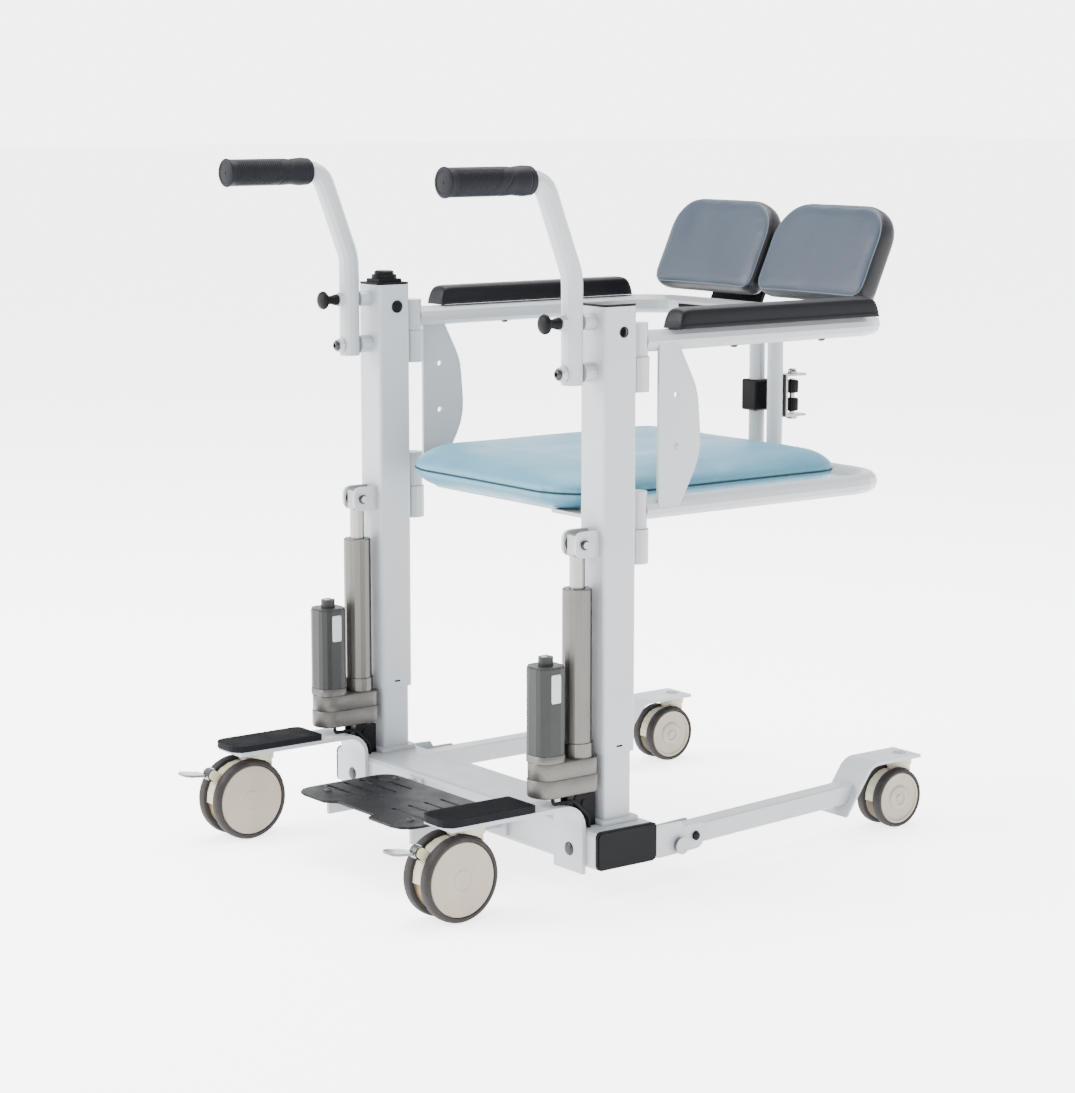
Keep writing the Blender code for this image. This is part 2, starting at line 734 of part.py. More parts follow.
# ---------------------------------------------------------------- handles


def handle_tube(side):
    x = side * COLUMN_X
    path = bent_path(
        [
            (x, HANDLE_Y, HANDLE_BOTTOM, 0),
            (x, HANDLE_Y, 0.712, 0.060),
            (x, -0.0935, GRIP_Z, 0.024),
            (x, GRIP_FRONT + 0.006, GRIP_Z, 0),
        ],
        4,
    )
    tube = pipe(path, HANDLE_RADIUS)
    nut = rod((x, HANDLE_Y, HANDLE_LOCK_Z), (x, HANDLE_Y - 0.0175, HANDLE_LOCK_Z), 0.0085, 6)
    tube = join(tube, nut)
    hole = rod((x, HANDLE_Y - 0.03, HANDLE_PIVOT_Z), (x, HANDLE_Y + 0.03, HANDLE_PIVOT_Z), 0.0056, 12)
    bore = rod((x, HANDLE_Y - 0.03, HANDLE_LOCK_Z), (x, HANDLE_Y + 0.03, HANDLE_LOCK_Z), 0.0036, 12)
    return cut(tube, hole, bore)


def handle_grip(side):
    """A rubber sleeve with a flange at its mouth and a thicker end cap."""
    bore = HANDLE_RADIUS + GAP
    length = GRIP_REAR - GRIP_FRONT
    profile = [(0, length), (GRIP_RADIUS - 0.001, length), (GRIP_RADIUS, length - 0.001)]
    profile += [(GRIP_RADIUS, length - 0.008), (GRIP_RADIUS - 0.001, length - 0.009)]
    profile += [(GRIP_RADIUS - 0.001, 0.003), (GRIP_RADIUS - 0.002, 0)]
    profile += [(bore, 0), (bore, length - 0.004), (0, length - 0.004)]
    turn = Matrix.Translation((side * COLUMN_X, GRIP_REAR, GRIP_Z))
    turn = turn @ Matrix.Rotation(math.radians(90), 4, "X")
    return turned(profile, turn)


def lock_pin(side):
    """The sprung pin with its knob, which holds the handle upright."""
    place = Matrix.Translation((side * COLUMN_X, 0, HANDLE_LOCK_Z))
    place = place @ Matrix.Rotation(math.radians(90), 4, "X")
    start = -HANDLE_Y + HANDLE_RADIUS + 0.0055
    knob = [(0, start + 0.0255), (0.0060, start + 0.0250), (0.0100, start + 0.0225)]
    knob += [(0.0115, start + 0.0180)]
    knob += [(0.0105, start + 0.0050), (0.0080, start), (0.0030, start), (0.0030, 0.0405), (0, 0.0405)]
    return turned(knob, place, 14)


# ---------------------------------------------------------------- gates


def gate_rail(side, z):
    """One bent rail of a gate, from its hinge barrel to the middle of the back."""
    x = side * COLUMN_X
    return pipe(
        bent_path(
            [
                (x, HINGE_Y + 0.0075, z, 0),
                (x, REAR_TUBE_Y, z, GATE_BEND),
                (side * 0.0055, REAR_TUBE_Y, z, 0),
            ],
            5,
        ),
        GATE_TUBE_RADIUS,
    )


def gate_frame(side):
    """Two bent rails joined by a rear tube and a curved side plate, with hinge barrels at the front."""
    x = side * COLUMN_X
    foot, head = ((side * REAR_TUBE_X, REAR_TUBE_Y, z) for z in (SEAT_TUBE_Z, ARM_Z))
    upright = rod(foot, head, REAR_TUBE_RADIUS, 16)
    frame = join(gate_rail(side, ARM_Z), upright, gate_rail(side, SEAT_TUBE_Z))
    outline = rounded(
        [
            (0.0650, SEAT_TUBE_Z, 0),
            (0.0650, ARM_Z, 0),
            (0.0920, ARM_Z, 0),
            (0.1230, 0.575, 0.080),
            (0.1290, 0.500, 0.080),
            (0.0960, SEAT_TUBE_Z, 0),
        ],
        3,
    )
    holes = [circle(0.0905, z, 0.0036, 8) for z in (0.571, 0.5115)]
    plate = side_plate([outline, *holes], side * SIDE_PLATE_X - 0.002, side * SIDE_PLATE_X + 0.002)
    frame = join(frame, plate)
    for low, high in (UPPER_BARREL, LOWER_BARREL):
        frame = join(frame, rod((x, HINGE_Y, low), (x, HINGE_Y, high), BARREL_RADIUS, 16))
        frame = cut(frame, rod((x, HINGE_Y, low - 0.01), (x, HINGE_Y, high - 0.0025), 0.0066, 12))
    return frame


def arm_pad(side):
    """A moulded pad with drafted sides and rounded edges."""
    x = side * ARM_PAD_X
    low, high = ARM_Z + GATE_TUBE_RADIUS + GAP, 0.671
    bm = bmesh.new()
    bmesh.ops.create_cube(bm, size=1.0)
    bmesh.ops.scale(bm, vec=(0.0356, 0.312, high - low), verts=bm.verts)
    for vert in bm.verts:
        if vert.co.z > 0:
            vert.co.x *= 0.86
            vert.co.y *= 0.97
    bmesh.ops.translate(bm, vec=(x, 0.241, (low + high) / 2), verts=bm.verts)
    top = [edge for edge in bm.edges if sum(vert.co.z for vert in edge.verts) > 2 * low + 0.004]
    bmesh.ops.bevel(bm, geom=top, offset=0.006, segments=3, profile=0.5, affect="EDGES")
    return from_bmesh(bm)


def back_frame(side):
    """The axes of one back pad, from its inner foot: X across, Y up its leaning face, Z to the front."""
    y, z = BACK_FOOT
    lean = Matrix.Rotation(math.radians(90) - BACK_LEAN, 4, "X")
    return Matrix.Translation((0, y, z)) @ lean


def back_pad(side):
    near, far = side * 0.0015, side * (0.0015 + BACK_WIDTH)
    bottom = [(near, 0, 0.018), (far, 0, 0.018)]
    outline = rounded([*bottom, (far, BACK_HEIGHT, 0.052), (near, BACK_HEIGHT, 0.045)], 4)
    return slab([outline], BACK_THICK, back_frame(side) @ Matrix.Translation((0, 0, -BACK_THICK / 2)))


def back_bracket(side):
    """A cradle under the rear rail with a plate up the back of the pad."""
    bore = GATE_TUBE_RADIUS + 2 * GAP
    low, high = sorted((side * 0.050, side * 0.150))
    cradle = cut(
        rod((side * 0.034, REAR_TUBE_Y, ARM_Z), (side * 0.160, REAR_TUBE_Y, ARM_Z), 0.0145, 16),
        rod((side * 0.020, REAR_TUBE_Y, ARM_Z), (side * 0.180, REAR_TUBE_Y, ARM_Z), bore, 16),
        box((low - 0.1, REAR_TUBE_Y - 0.03, ARM_Z + 0.003), (high + 0.1, REAR_TUBE_Y + 0.03, ARM_Z + 0.03)),
    )
    depth = -BACK_THICK - GAP
    stay = moved(box((low, -0.004, depth - 0.004), (high, 0.095, depth)), back_frame(side))
    shelf = box((low, REAR_TUBE_Y + 0.0136, ARM_Z - 0.004), (high, REAR_TUBE_Y + 0.0345, ARM_Z))
    return join(cradle, shelf, stay)


def latch_block():
    """The clamp on the left rear tube that the latch closes against."""
    x = -REAR_TUBE_X
    block = box((x - 0.0145, REAR_TUBE_Y - 0.0145, 0.507), (x + 0.0140, REAR_TUBE_Y + 0.0150, 0.547), 0.002)
    bore = rod((x, REAR_TUBE_Y, 0.49), (x, REAR_TUBE_Y, 0.56), REAR_TUBE_RADIUS + 2 * GAP, 16)
    return cut(block, bore)


def latch_body():
    """The latch's bracket behind the right rear tube, with two ears for the spindle."""
    x = REAR_TUBE_X
    rear = REAR_TUBE_Y + REAR_TUBE_RADIUS + GAP
    web = box((x - 0.010, rear, 0.500), (x + 0.010, rear + 0.003, 0.5555))
    for low in (0.500, 0.5525):
        web = join(web, box((x - 0.010, rear + 0.001, low), (x + 0.010, 0.4870, low + 0.003)))
    return cut(web, rod((x, 0.4710, 0.48), (x, 0.4710, 0.58), 0.0040, 10))


def latch_knob():
    """The latch's spindle with its pair of knurled rollers."""
    steps = [(0, 0.5630), (0.0050, 0.5625), (0.0070, 0.5600), (0.0070, 0.5560), (0.0034, 0.5560)]
    steps += [(0.0034, 0.5490), (0.0088, 0.5485), (0.0088, 0.5305), (0.0060, 0.5285), (0.0060, 0.5265)]
    steps += [(0.0088, 0.5245), (0.0088, 0.5070), (0.0034, 0.5065), (0.0034, 0.4995), (0.0064, 0.4990)]
    steps += [(0.0055, 0.4935), (0, 0.4930)]
    return turned(steps, Matrix.Translation((REAR_TUBE_X, 0.4710, 0)), 12)


def seat_cushion():
    """The seat pad: wider rounding at its front corners than at its rear ones."""
    outline = rounded(
        [
            (-SEAT_HALF, SEAT_FRONT, 0.090),
            (SEAT_HALF, SEAT_FRONT, 0.090),
            (SEAT_HALF, SEAT_REAR, 0.050),
            (-SEAT_HALF, SEAT_REAR, 0.050),
        ],
        6,
    )
    return flat_plate([outline], SEAT_BOTTOM, SEAT_TOP)


def seat_support():
    """A ribbed tray under the cushion, on an arm that is bolted to the right column's inner face."""
    top = SEAT_BOTTOM - GAP
    face = COLUMN_X - OUTER_WIDTH / 2 - GAP
    tray = flat_plate([rectangle((-0.150, 0.014), (0.150, 0.360), 0.020)], top - 0.004, top)
    arm = box((0.120, 0.000, top - 0.0045), (face - 0.001, 0.0215, top - 0.0002))
    flange = box((face - 0.005, -0.016, top - 0.044), (face, 0.0205, top - 0.0004))
    support = join(tray, arm, flange)
    for y in (0.100, 0.270):
        support = join(support, box((-0.140, y, top - 0.016), (0.140, y + 0.004, top - 0.003)))
    return support


# ---------------------------------------------------------------- casters


def caster_fork(x, swivel_y, axle_y, radius, web, half_width, neck_radius, top, stem_top):
    """A central web between twin wheels, with a fender over its upper half and a swivel neck on a stem."""
    reach = 0.91 * radius
    arc = [math.radians(angle) for angle in range(-12, 193, 15)]
    fender = [Vector((axle_y + reach * math.cos(turn), radius + reach * math.sin(turn))) for turn in arc]
    body = side_plate([fender], x - web, x + web)
    hub = rod((x - web - 0.0002, axle_y, radius), (x + web + 0.0002, axle_y, radius), 0.28 * radius)
    foot = radius * 1.55
    step = top - 0.30 * (top - foot)
    lower = rod((x, swivel_y, foot), (x, swivel_y, step), neck_radius * 0.90, 20)
    plate = rod((x, swivel_y, step - 0.001), (x, swivel_y, top), neck_radius, 20)
    neck = join(lower, plate, rod((x, swivel_y, top - 0.001), (x, swivel_y, stem_top), 0.0060, 12))
    for end in (1, -1):
        near, far = x + end * (web + 0.0001), x + end * (half_width + 0.004)
        neck = cut(neck, rod((near, axle_y, radius), (far, axle_y, radius), radius + 0.0012, 32))
    return cut(join(body, hub, neck), rod((x - 0.02, axle_y, radius), (x + 0.02, axle_y, radius), 0.0044, 12))


def front_fork(side):
    """The front fork, with two ears ahead of its fender that hold the brake pedal."""
    x = side * LEG_X
    top = LEG_TOP - LEG_THICK - GAP
    fork = caster_fork(
        x, FRONT_SWIVEL_Y, FRONT_AXLE_Y, FRONT_RADIUS, FRONT_WEB, FRONT_HALF_WIDTH, 0.0220, top, 0.1115
    )
    axle = Vector((FRONT_AXLE_Y, FRONT_RADIUS))
    out = (Vector(PEDAL_AXIS) - axle).normalized()
    across = Vector((-out.y, out.x)) * 0.006
    root, tip = axle + out * 0.040, Vector(PEDAL_AXIS) + out * 0.0055
    ear = [(*(root - across), 0), (*(tip - across), 0.005)]
    ear = rounded([*ear, (*(tip + across), 0.005), (*(root + across), 0)], 3)
    for end in (1, -1):
        fork = join(fork, side_plate([ear], x + end * 0.0060, x + end * (FRONT_WEB - 0.0001)))
    return fork


def rear_fork(side):
    top = REAR_PLATE_TOP - 0.004 - GAP
    return caster_fork(
        side * REAR_PLATE_X, REAR_SWIVEL_Y, REAR_AXLE_Y, REAR_RADIUS,
        REAR_WEB, REAR_HALF_WIDTH, 0.0165, top, 0.0905
    )


def twin_wheels(x, axle_y, radius, web, half_width, steps):
    """Two wheels with rounded treads on one axle."""
    inner = web + 0.0006
    edge = 0.0028
    half = [(0, half_width), (radius - 0.0060, half_width), (radius, half_width - edge)]
    half += [(radius, inner), (0.0038, inner)]
    profile = half + [(away, -across) for away, across in reversed(half)]
    place = Matrix.Translation((x, axle_y, radius)) @ Matrix.Rotation(math.radians(90), 4, "Y")
    return turned(profile, place, steps)


def brake_pedal(side):
    """The toe brake: a barrel on the fork and a tilted pad."""
    x = side * LEG_X
    y, z = PEDAL_AXIS
    barrel = rod((x - 0.0057, y, z), (x + 0.0057, y, z), 0.0080, 16)
    tilt = Matrix.Translation((x, y, z)) @ Matrix.Rotation(math.radians(-8), 4, "X")
    pad = [(-0.0145, -0.042, 0.008), (0.0145, -0.042, 0.008)]
    pad = rounded([*pad, (0.0105, -0.011, 0.004), (-0.0105, -0.011, 0.004)], 3)
    neck = slab([rectangle((-0.0050, -0.016), (0.0050, 0))], 0.0028, tilt)
    return join(barrel, neck, slab([pad], 0.003, tilt))


# ---------------------------------------------------------------- assembly


def build():
    clear_scene()
    home = collection("sit_to_stand_lift")
    base = pivot("base", (0, 0, 0), None, home)
    finish(crossbar(), "crossbar", WHITE, base, home)
    finish(footplate(), "footplate", PLATE, base, home)
    for side in (1, -1):
        build_base_side(side, base, home)
        carriage = build_carriage(side, base, home)
        build_handle(side, carriage, home)
        build_gate(side, carriage, home)
        if side > 0:
            seat = pivot("seat", (0, 0.195, SEAT_BOTTOM), carriage, home)
            finish(seat_cushion(), "seat_cushion", SEAT_VINYL, seat, home)
            finish(seat_support(), "seat_support", PLATE, seat, home)
        build_casters(side, base, home)


def build_base_side(side, base, home):
    end = letter(side)
    finish(crossbar_cap(side), f"crossbar_cap_{end}", BLACK, base, home)
    finish(front_leg(side), f"front_leg_{end}", WHITE, base, home)
    finish(tread_pad(side), f"tread_pad_{end}", RUBBER, base, home)
    finish(inner_column(side), f"inner_column_{end}", WHITE, base, home)
    finish(lower_bracket(side), f"lower_bracket_{end}", BLACK, base, home)
    finish(actuator_gearbox(side), f"actuator_gearbox_{end}", CAST, base, home)
    finish(actuator_motor(side), f"actuator_motor_{end}", MOTOR, base, home)
    finish(actuator_tube(side), f"actuator_tube_{end}", SILVER, base, home)
    finish(actuator_cable(side), f"actuator_cable_{end}", BLACK, base, home)
    finish(rear_leg(side), f"rear_leg_{end}", WHITE, base, home)
    finish(rear_leg_bolt(side), f"rear_leg_bolt_{end}", STEEL, base, home)


def build_carriage(side, base, home):
    end = letter(side)
    carriage = pivot(f"carriage_{end}", (side * COLUMN_X, 0, OUTER_BOTTOM), base, home)
    finish(outer_column(side), f"outer_column_{end}", WHITE, carriage, home)
    finish(column_cap(side), f"column_cap_{end}", BLACK, carriage, home)
    finish(actuator_rod(side), f"actuator_rod_{end}", STEEL, carriage, home)
    return carriage


def build_handle(side, carriage, home):
    end = letter(side)
    handle = pivot(f"handle_{end}", (side * COLUMN_X, HANDLE_Y, HANDLE_PIVOT_Z), carriage, home)
    finish(handle_tube(side), f"handle_tube_{end}", WHITE, handle, home)
    finish(handle_grip(side), f"handle_grip_{end}", RUBBER, handle, home)
    plunger = pivot(f"plunger_{end}", (side * COLUMN_X, HANDLE_Y, HANDLE_LOCK_Z), handle, home)
    finish(lock_pin(side), f"lock_pin_{end}", BLACK, plunger, home)


def build_gate(side, carriage, home):
    end = letter(side)
    gate = pivot(f"gate_{end}", (side * COLUMN_X, HINGE_Y, LOWER_BARREL[0]), carriage, home)
    finish(gate_frame(side), f"gate_frame_{end}", WHITE, gate, home)
    finish(arm_pad(side), f"arm_pad_{end}", RUBBER, gate, home)
    finish(back_pad(side), f"back_pad_{end}", BACK_VINYL, gate, home)
    finish(back_bracket(side), f"back_bracket_{end}", BLACK, gate, home)
    if side < 0:
        finish(latch_block(), "latch_block", BLACK, gate, home)
        return
    finish(latch_body(), "latch_body", STEEL, gate, home)
    spindle = pivot("latch", (REAR_TUBE_X, 0.4710, 0.528), gate, home)
    finish(latch_knob(), "latch_knob", BLACK, spindle, home)


def build_casters(side, base, home):
    end = letter(side)
    front = pivot(f"front_swivel_{end}", (side * LEG_X, FRONT_SWIVEL_Y, LEG_TOP), base, home)
    finish(front_fork(side), f"front_fork_{end}", CREAM, front, home)
    axle = pivot(f"front_axle_{end}", (side * LEG_X, FRONT_AXLE_Y, FRONT_RADIUS), front, home)
    wheels = twin_wheels(side * LEG_X, FRONT_AXLE_Y, FRONT_RADIUS, FRONT_WEB, FRONT_HALF_WIDTH, 32)
    finish(wheels, f"front_wheels_{end}", TYRE, axle, home)
    toe = pivot(f"brake_{end}", (side * LEG_X, *PEDAL_AXIS), front, home)
    finish(brake_pedal(side), f"brake_pedal_{end}", STEEL, toe, home)
    rear = pivot(f"rear_swivel_{end}", (side * REAR_PLATE_X, REAR_SWIVEL_Y, REAR_PLATE_TOP), base, home)
    finish(rear_fork(side), f"rear_fork_{end}", CREAM, rear, home)
    axle = pivot(f"rear_axle_{end}", (side * REAR_PLATE_X, REAR_AXLE_Y, REAR_RADIUS), rear, home)
    wheels = twin_wheels(side * REAR_PLATE_X, REAR_AXLE_Y, REAR_RADIUS, REAR_WEB, REAR_HALF_WIDTH, 28)
    finish(wheels, f"rear_wheels_{end}", TYRE, axle, home)


build()
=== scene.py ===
"""The looks of a sit-to-stand lift: materials, upholstery, casters, grips and fittings on its fixed frame.

Metres, Z up. The lift faces -Y, and its right side is +X.
"""
import math

import bmesh
import bpy
from mathutils import Matrix, Vector, noise
from mathutils.bvhtree import BVHTree


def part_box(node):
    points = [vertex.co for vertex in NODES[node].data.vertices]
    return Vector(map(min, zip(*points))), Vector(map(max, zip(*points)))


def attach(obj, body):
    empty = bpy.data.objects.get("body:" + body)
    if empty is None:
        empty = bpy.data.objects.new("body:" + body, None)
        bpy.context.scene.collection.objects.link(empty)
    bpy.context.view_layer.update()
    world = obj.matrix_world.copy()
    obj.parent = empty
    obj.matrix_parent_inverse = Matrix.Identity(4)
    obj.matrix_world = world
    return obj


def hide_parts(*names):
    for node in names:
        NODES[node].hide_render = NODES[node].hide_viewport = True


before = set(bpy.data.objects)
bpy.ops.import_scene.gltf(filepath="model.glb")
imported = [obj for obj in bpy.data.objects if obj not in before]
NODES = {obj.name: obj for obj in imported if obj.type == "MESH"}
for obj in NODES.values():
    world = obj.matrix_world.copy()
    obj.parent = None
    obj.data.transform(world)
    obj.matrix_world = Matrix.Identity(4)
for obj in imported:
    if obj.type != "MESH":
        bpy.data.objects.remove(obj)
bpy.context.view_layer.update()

SIDES = ((1, "R"), (-1, "L"))
COLUMN_X = 0.226
LEG_X = 0.2235
MOTOR_Y = -0.0895
TUBE_Y = -0.0445
PIVOT_HEIGHT = 0.603
PIN_HEIGHT = 0.660
GRIP_HEIGHT = 0.8188
FRONT_WHEEL = {"y": -0.2211, "radius": 0.050, "web": 0.0090, "half": 0.0243, "hub": 0.0115}
REAR_WHEEL = {"y": 0.458, "radius": 0.0375, "web": 0.0072, "half": 0.0205, "hub": 0.0120}
SEAT_MIDDLE = 0.19


# ---------------------------------------------------------------- materials


class Paint:
    """A procedural material made on the object's own coordinates, in metres."""

    def __init__(self, name, roughness=0.5, metallic=0.0):
        self.material = bpy.data.materials.new(name)
        self.material.use_nodes = True
        self.tree = self.material.node_tree
        self.shader = self.tree.nodes["Principled BSDF"]
        self.shader.inputs["Metallic"].default_value = metallic
        self.shader.inputs["Roughness"].default_value = roughness
        self.place = self.node("ShaderNodeTexCoord").outputs["Object"]
        self.height = None

    def node(self, kind, **values):
        made = self.tree.nodes.new(kind)
        for key, value in values.items():
            setattr(made, key, value)
        return made

    def link(self, source, target):
        self.tree.links.new(source, target)

    def stretched(self, scale, turn=(0, 0, 0)):
        made = self.node("ShaderNodeMapping")
        made.inputs["Scale"].default_value = scale
        made.inputs["Rotation"].default_value = turn
        self.link(self.place, made.inputs["Vector"])
        return made.outputs["Vector"]

    def noise(self, scale, detail=3.0, rough=0.55, source=None):
        made = self.node("ShaderNodeTexNoise")
        made.inputs["Scale"].default_value = scale
        made.inputs["Detail"].default_value = detail
        made.inputs["Roughness"].default_value = rough
        self.link(source or self.place, made.inputs["Vector"])
        return made.outputs["Fac"]

    def cells(self, scale):
        made = self.node("ShaderNodeTexVoronoi", feature="F1")
        made.inputs["Scale"].default_value = scale
        self.link(self.place, made.inputs["Vector"])
        return made.outputs["Distance"]

    def ramp(self, value, low, high, start=0.0, end=1.0):
        made = self.node("ShaderNodeMapRange")
        for key, number in (("From Min", low), ("From Max", high), ("To Min", start), ("To Max", end)):
            made.inputs[key].default_value = number
        self.link(value, made.inputs["Value"])
        return made.outputs["Result"]

    def maths(self, kind, first, second):
        made = self.node("ShaderNodeMath", operation=kind)
        for socket, value in zip(made.inputs, (first, second)):
            if isinstance(value, (int, float)):
                socket.default_value = value
            else:
                self.link(value, socket)
        return made.outputs["Value"]

    def mix(self, amount, first, second):
        made = self.node("ShaderNodeMix", data_type="RGBA")
        self.link(amount, made.inputs["Factor"])
        for socket, value in ((made.inputs[6], first), (made.inputs[7], second)):
            if isinstance(value, tuple):
                socket.default_value = (*value, 1.0)
            else:
                self.link(value, socket)
        return made.outputs[2]

    def colour(self, value):
        self.link(value, self.shader.inputs["Base Color"])
        return self

    def rough(self, value):
        self.link(value, self.shader.inputs["Roughness"])
        return self

    def bump(self, value, distance, strength=1.0):
        made = self.node("ShaderNodeBump")
        made.inputs["Distance"].default_value = distance
        made.inputs["Strength"].default_value = strength
        self.link(value, made.inputs["Height"])
        if self.height:
            self.link(self.height, made.inputs["Normal"])
        self.height = made.outputs["Normal"]
        self.link(self.height, self.shader.inputs["Normal"])
        return self

    def uniform(self, **values):
        """Sets the shader's own sockets: uniform(Specular_IOR_Level=0.2)."""
        for key, value in values.items():
            self.shader.inputs[key.replace("_", " ")].default_value = value
        return self

    def painted(self):
        """The colour linked so far."""
        return self.shader.inputs["Base Color"].links[0].from_socket

    def axis(self, letter):
        made = self.node("ShaderNodeSeparateXYZ")
        self.link(self.place, made.inputs["Vector"])
        return made.outputs[letter]


def tint(colour, factor):
    return tuple(min(1.0, part * factor) for part in colour)


def coated(name, colour, roughness, peel=900.0, depth=0.00012, marks=0.25):
    """Powder coat: orange peel, faint mottling, and a few rubbed marks."""
    paint = Paint(name, roughness)
    mottle = paint.mix(paint.ramp(paint.noise(7.0), 0.35, 0.65), tint(colour, 0.965), tint(colour, 1.025))
    dust = paint.mix(paint.ramp(paint.noise(170.0, 5.0), 0.60, 0.78, 0.0, marks), mottle, tint(colour, 0.86))
    paint.colour(dust)
    paint.rough(paint.ramp(paint.noise(38.0, 4.0), 0.3, 0.7, roughness - 0.05, roughness + 0.07))
    return paint.bump(paint.noise(peel, 2.0), depth, 0.55)


def moulded(name, colour, roughness, grain=650.0, depth=0.00015, scuff=0.5):
    """Moulded plastic: spark-eroded grain, handling shine and pale scuffs."""
    paint = Paint(name, roughness).uniform(Specular_IOR_Level=0.06)
    base = paint.mix(paint.ramp(paint.noise(11.0), 0.3, 0.7), tint(colour, 0.86), tint(colour, 1.12))
    streaks = paint.noise(30.0, 6.0, 0.7, paint.stretched((9.0, 9.0, 2.2), (0.4, 0.7, 0.2)))
    paint.colour(paint.mix(paint.ramp(streaks, 0.62, 0.80, 0.0, scuff), base, tint(colour, 2.2)))
    paint.rough(paint.ramp(paint.noise(24.0, 4.0), 0.3, 0.7, roughness - 0.08, roughness + 0.08))
    return paint.bump(paint.noise(grain, 3.0), depth, 0.6)


def bright(name, colour, roughness, brushed=(1.0, 1.0, 1.0), scale=420.0, depth=0.00004):
    """Bare or plated metal with its drawing or polishing lines."""
    paint = Paint(name, roughness, 1.0)
    lines = paint.noise(scale, 4.0, 0.6, paint.stretched(brushed))
    tone = paint.mix(paint.ramp(lines, 0.3, 0.7), tint(colour, 0.84), tint(colour, 1.10))
    stain = paint.ramp(paint.noise(16.0, 5.0), 0.55, 0.75, 0.0, 0.35)
    paint.colour(paint.mix(stain, tone, tint(colour, 0.72)))
    paint.rough(paint.ramp(lines, 0.3, 0.7, roughness - 0.06, roughness + 0.10))
    return paint.bump(lines, depth, 0.5)


def leatherette(name, colour, roughness, grain=520.0, depth=0.00022):
    """Upholstery vinyl: a cell grain with fine creases, soft mottling and a wiped shine."""
    paint = Paint(name, roughness)
    tone = paint.mix(paint.ramp(paint.noise(9.0, 4.0), 0.32, 0.68), tint(colour, 0.93), tint(colour, 1.06))
    pores = paint.ramp(paint.cells(grain), 0.05, 0.5)
    deep = paint.ramp(paint.noise(240.0, 4.0), 0.35, 0.7, 0.82, 1.0)
    paint.colour(paint.mix(paint.maths("MULTIPLY", pores, deep), tint(colour, 0.80), tone))
    paint.rough(paint.ramp(paint.noise(18.0, 5.0), 0.3, 0.7, roughness - 0.06, roughness + 0.09))
    paint.bump(paint.noise(42.0, 4.0), 0.0006, 0.30)
    return paint.bump(paint.maths("MULTIPLY", pores, deep), depth, 0.55)


def make_plate():
    """Black powder coat, rubbed grey where feet have slid across it."""
    paint = coated("powder_black", (0.0045, 0.0048, 0.0056), 0.42, 1100.0, 0.00020, 0.5)
    fine = paint.noise(60.0, 6.0, 0.7, paint.stretched((1.0, 6.0, 1.0), (0, 0, 0.5)))
    rubbed = paint.ramp(fine, 0.60, 0.74, 0.0, 0.5)
    paint.uniform(Specular_IOR_Level=0.12)
    return paint.colour(paint.mix(rubbed, paint.painted(), (0.030, 0.032, 0.036)))


def make_cast():
    """Sand-cast zinc housing, slightly warm, with a fine skin."""
    paint = Paint("cast_zinc", 0.42, 0.75)
    colour = (0.092, 0.086, 0.079)
    tone = paint.mix(paint.ramp(paint.noise(14.0, 4.0), 0.3, 0.7), tint(colour, 0.80), tint(colour, 1.08))
    paint.colour(paint.mix(paint.ramp(paint.noise(260.0, 3.0), 0.55, 0.75, 0, 0.4), tone, tint(colour, 0.62)))
    paint.rough(paint.ramp(paint.noise(45.0, 4.0), 0.3, 0.7, 0.36, 0.52))
    return paint.bump(paint.noise(700.0, 4.0), 0.00025, 0.6)


def make_motor():
    """Painted steel motor shell, a satin mid grey with drawn lines."""
    paint = Paint("motor_grey", 0.40, 0.35).uniform(Specular_IOR_Level=0.2)
    colour = (0.021, 0.0215, 0.0215)
    lines = paint.noise(300.0, 4.0, 0.6, paint.stretched((1.0, 1.0, 0.04)))
    tone = paint.mix(paint.ramp(lines, 0.3, 0.7), tint(colour, 0.90), tint(colour, 1.10))
    paint.colour(paint.mix(paint.ramp(paint.noise(20.0, 5.0), 0.56, 0.74, 0, 0.4), tone, tint(colour, 0.76)))
    paint.rough(paint.ramp(lines, 0.3, 0.7, 0.34, 0.48))
    return paint.bump(lines, 0.00006, 0.5)


def make_tyre():
    """Brown-grey caster tread, dusty with fine running lines."""
    paint = Paint("tyre_brown", 0.66).uniform(Specular_IOR_Level=0.2)
    colour = (0.0165, 0.0138, 0.0130)
    tone = paint.mix(paint.ramp(paint.noise(22.0, 5.0), 0.3, 0.7), tint(colour, 0.82), tint(colour, 1.20))
    dust = paint.ramp(paint.noise(120.0, 6.0, 0.7), 0.52, 0.72, 0.0, 0.55)
    paint.colour(paint.mix(dust, tone, (0.036, 0.031, 0.028)))
    paint.rough(paint.ramp(paint.noise(60.0, 4.0), 0.3, 0.7, 0.58, 0.78))
    rings = paint.noise(40.0, 2.0, 0.5, paint.stretched((46.0, 1.0, 1.0)))
    paint.bump(rings, 0.0002, 0.5)
    return paint.bump(paint.noise(900.0, 3.0), 0.00016, 0.6)


def make_cream(name, colour):
    """Caster nylon: warm, faintly waxy, with flow marks from the mould."""
    paint = Paint(name, 0.42)
    flow = paint.noise(14.0, 5.0, 0.6, paint.stretched((1.0, 2.6, 1.2), (0.3, 0, 0)))
    tone = paint.mix(paint.ramp(flow, 0.3, 0.7), tint(colour, 0.93), tint(colour, 1.05))
    stain = paint.ramp(paint.noise(85.0, 6.0, 0.7), 0.60, 0.76, 0, 0.45)
    paint.colour(paint.mix(stain, tone, tint(colour, 0.74)))
    paint.rough(paint.ramp(paint.noise(40.0, 4.0), 0.3, 0.7, 0.36, 0.52))
    paint.uniform(Subsurface_Weight=0.08, Subsurface_Scale=0.004)
    return paint.bump(paint.noise(520.0, 3.0), 0.00012, 0.5)


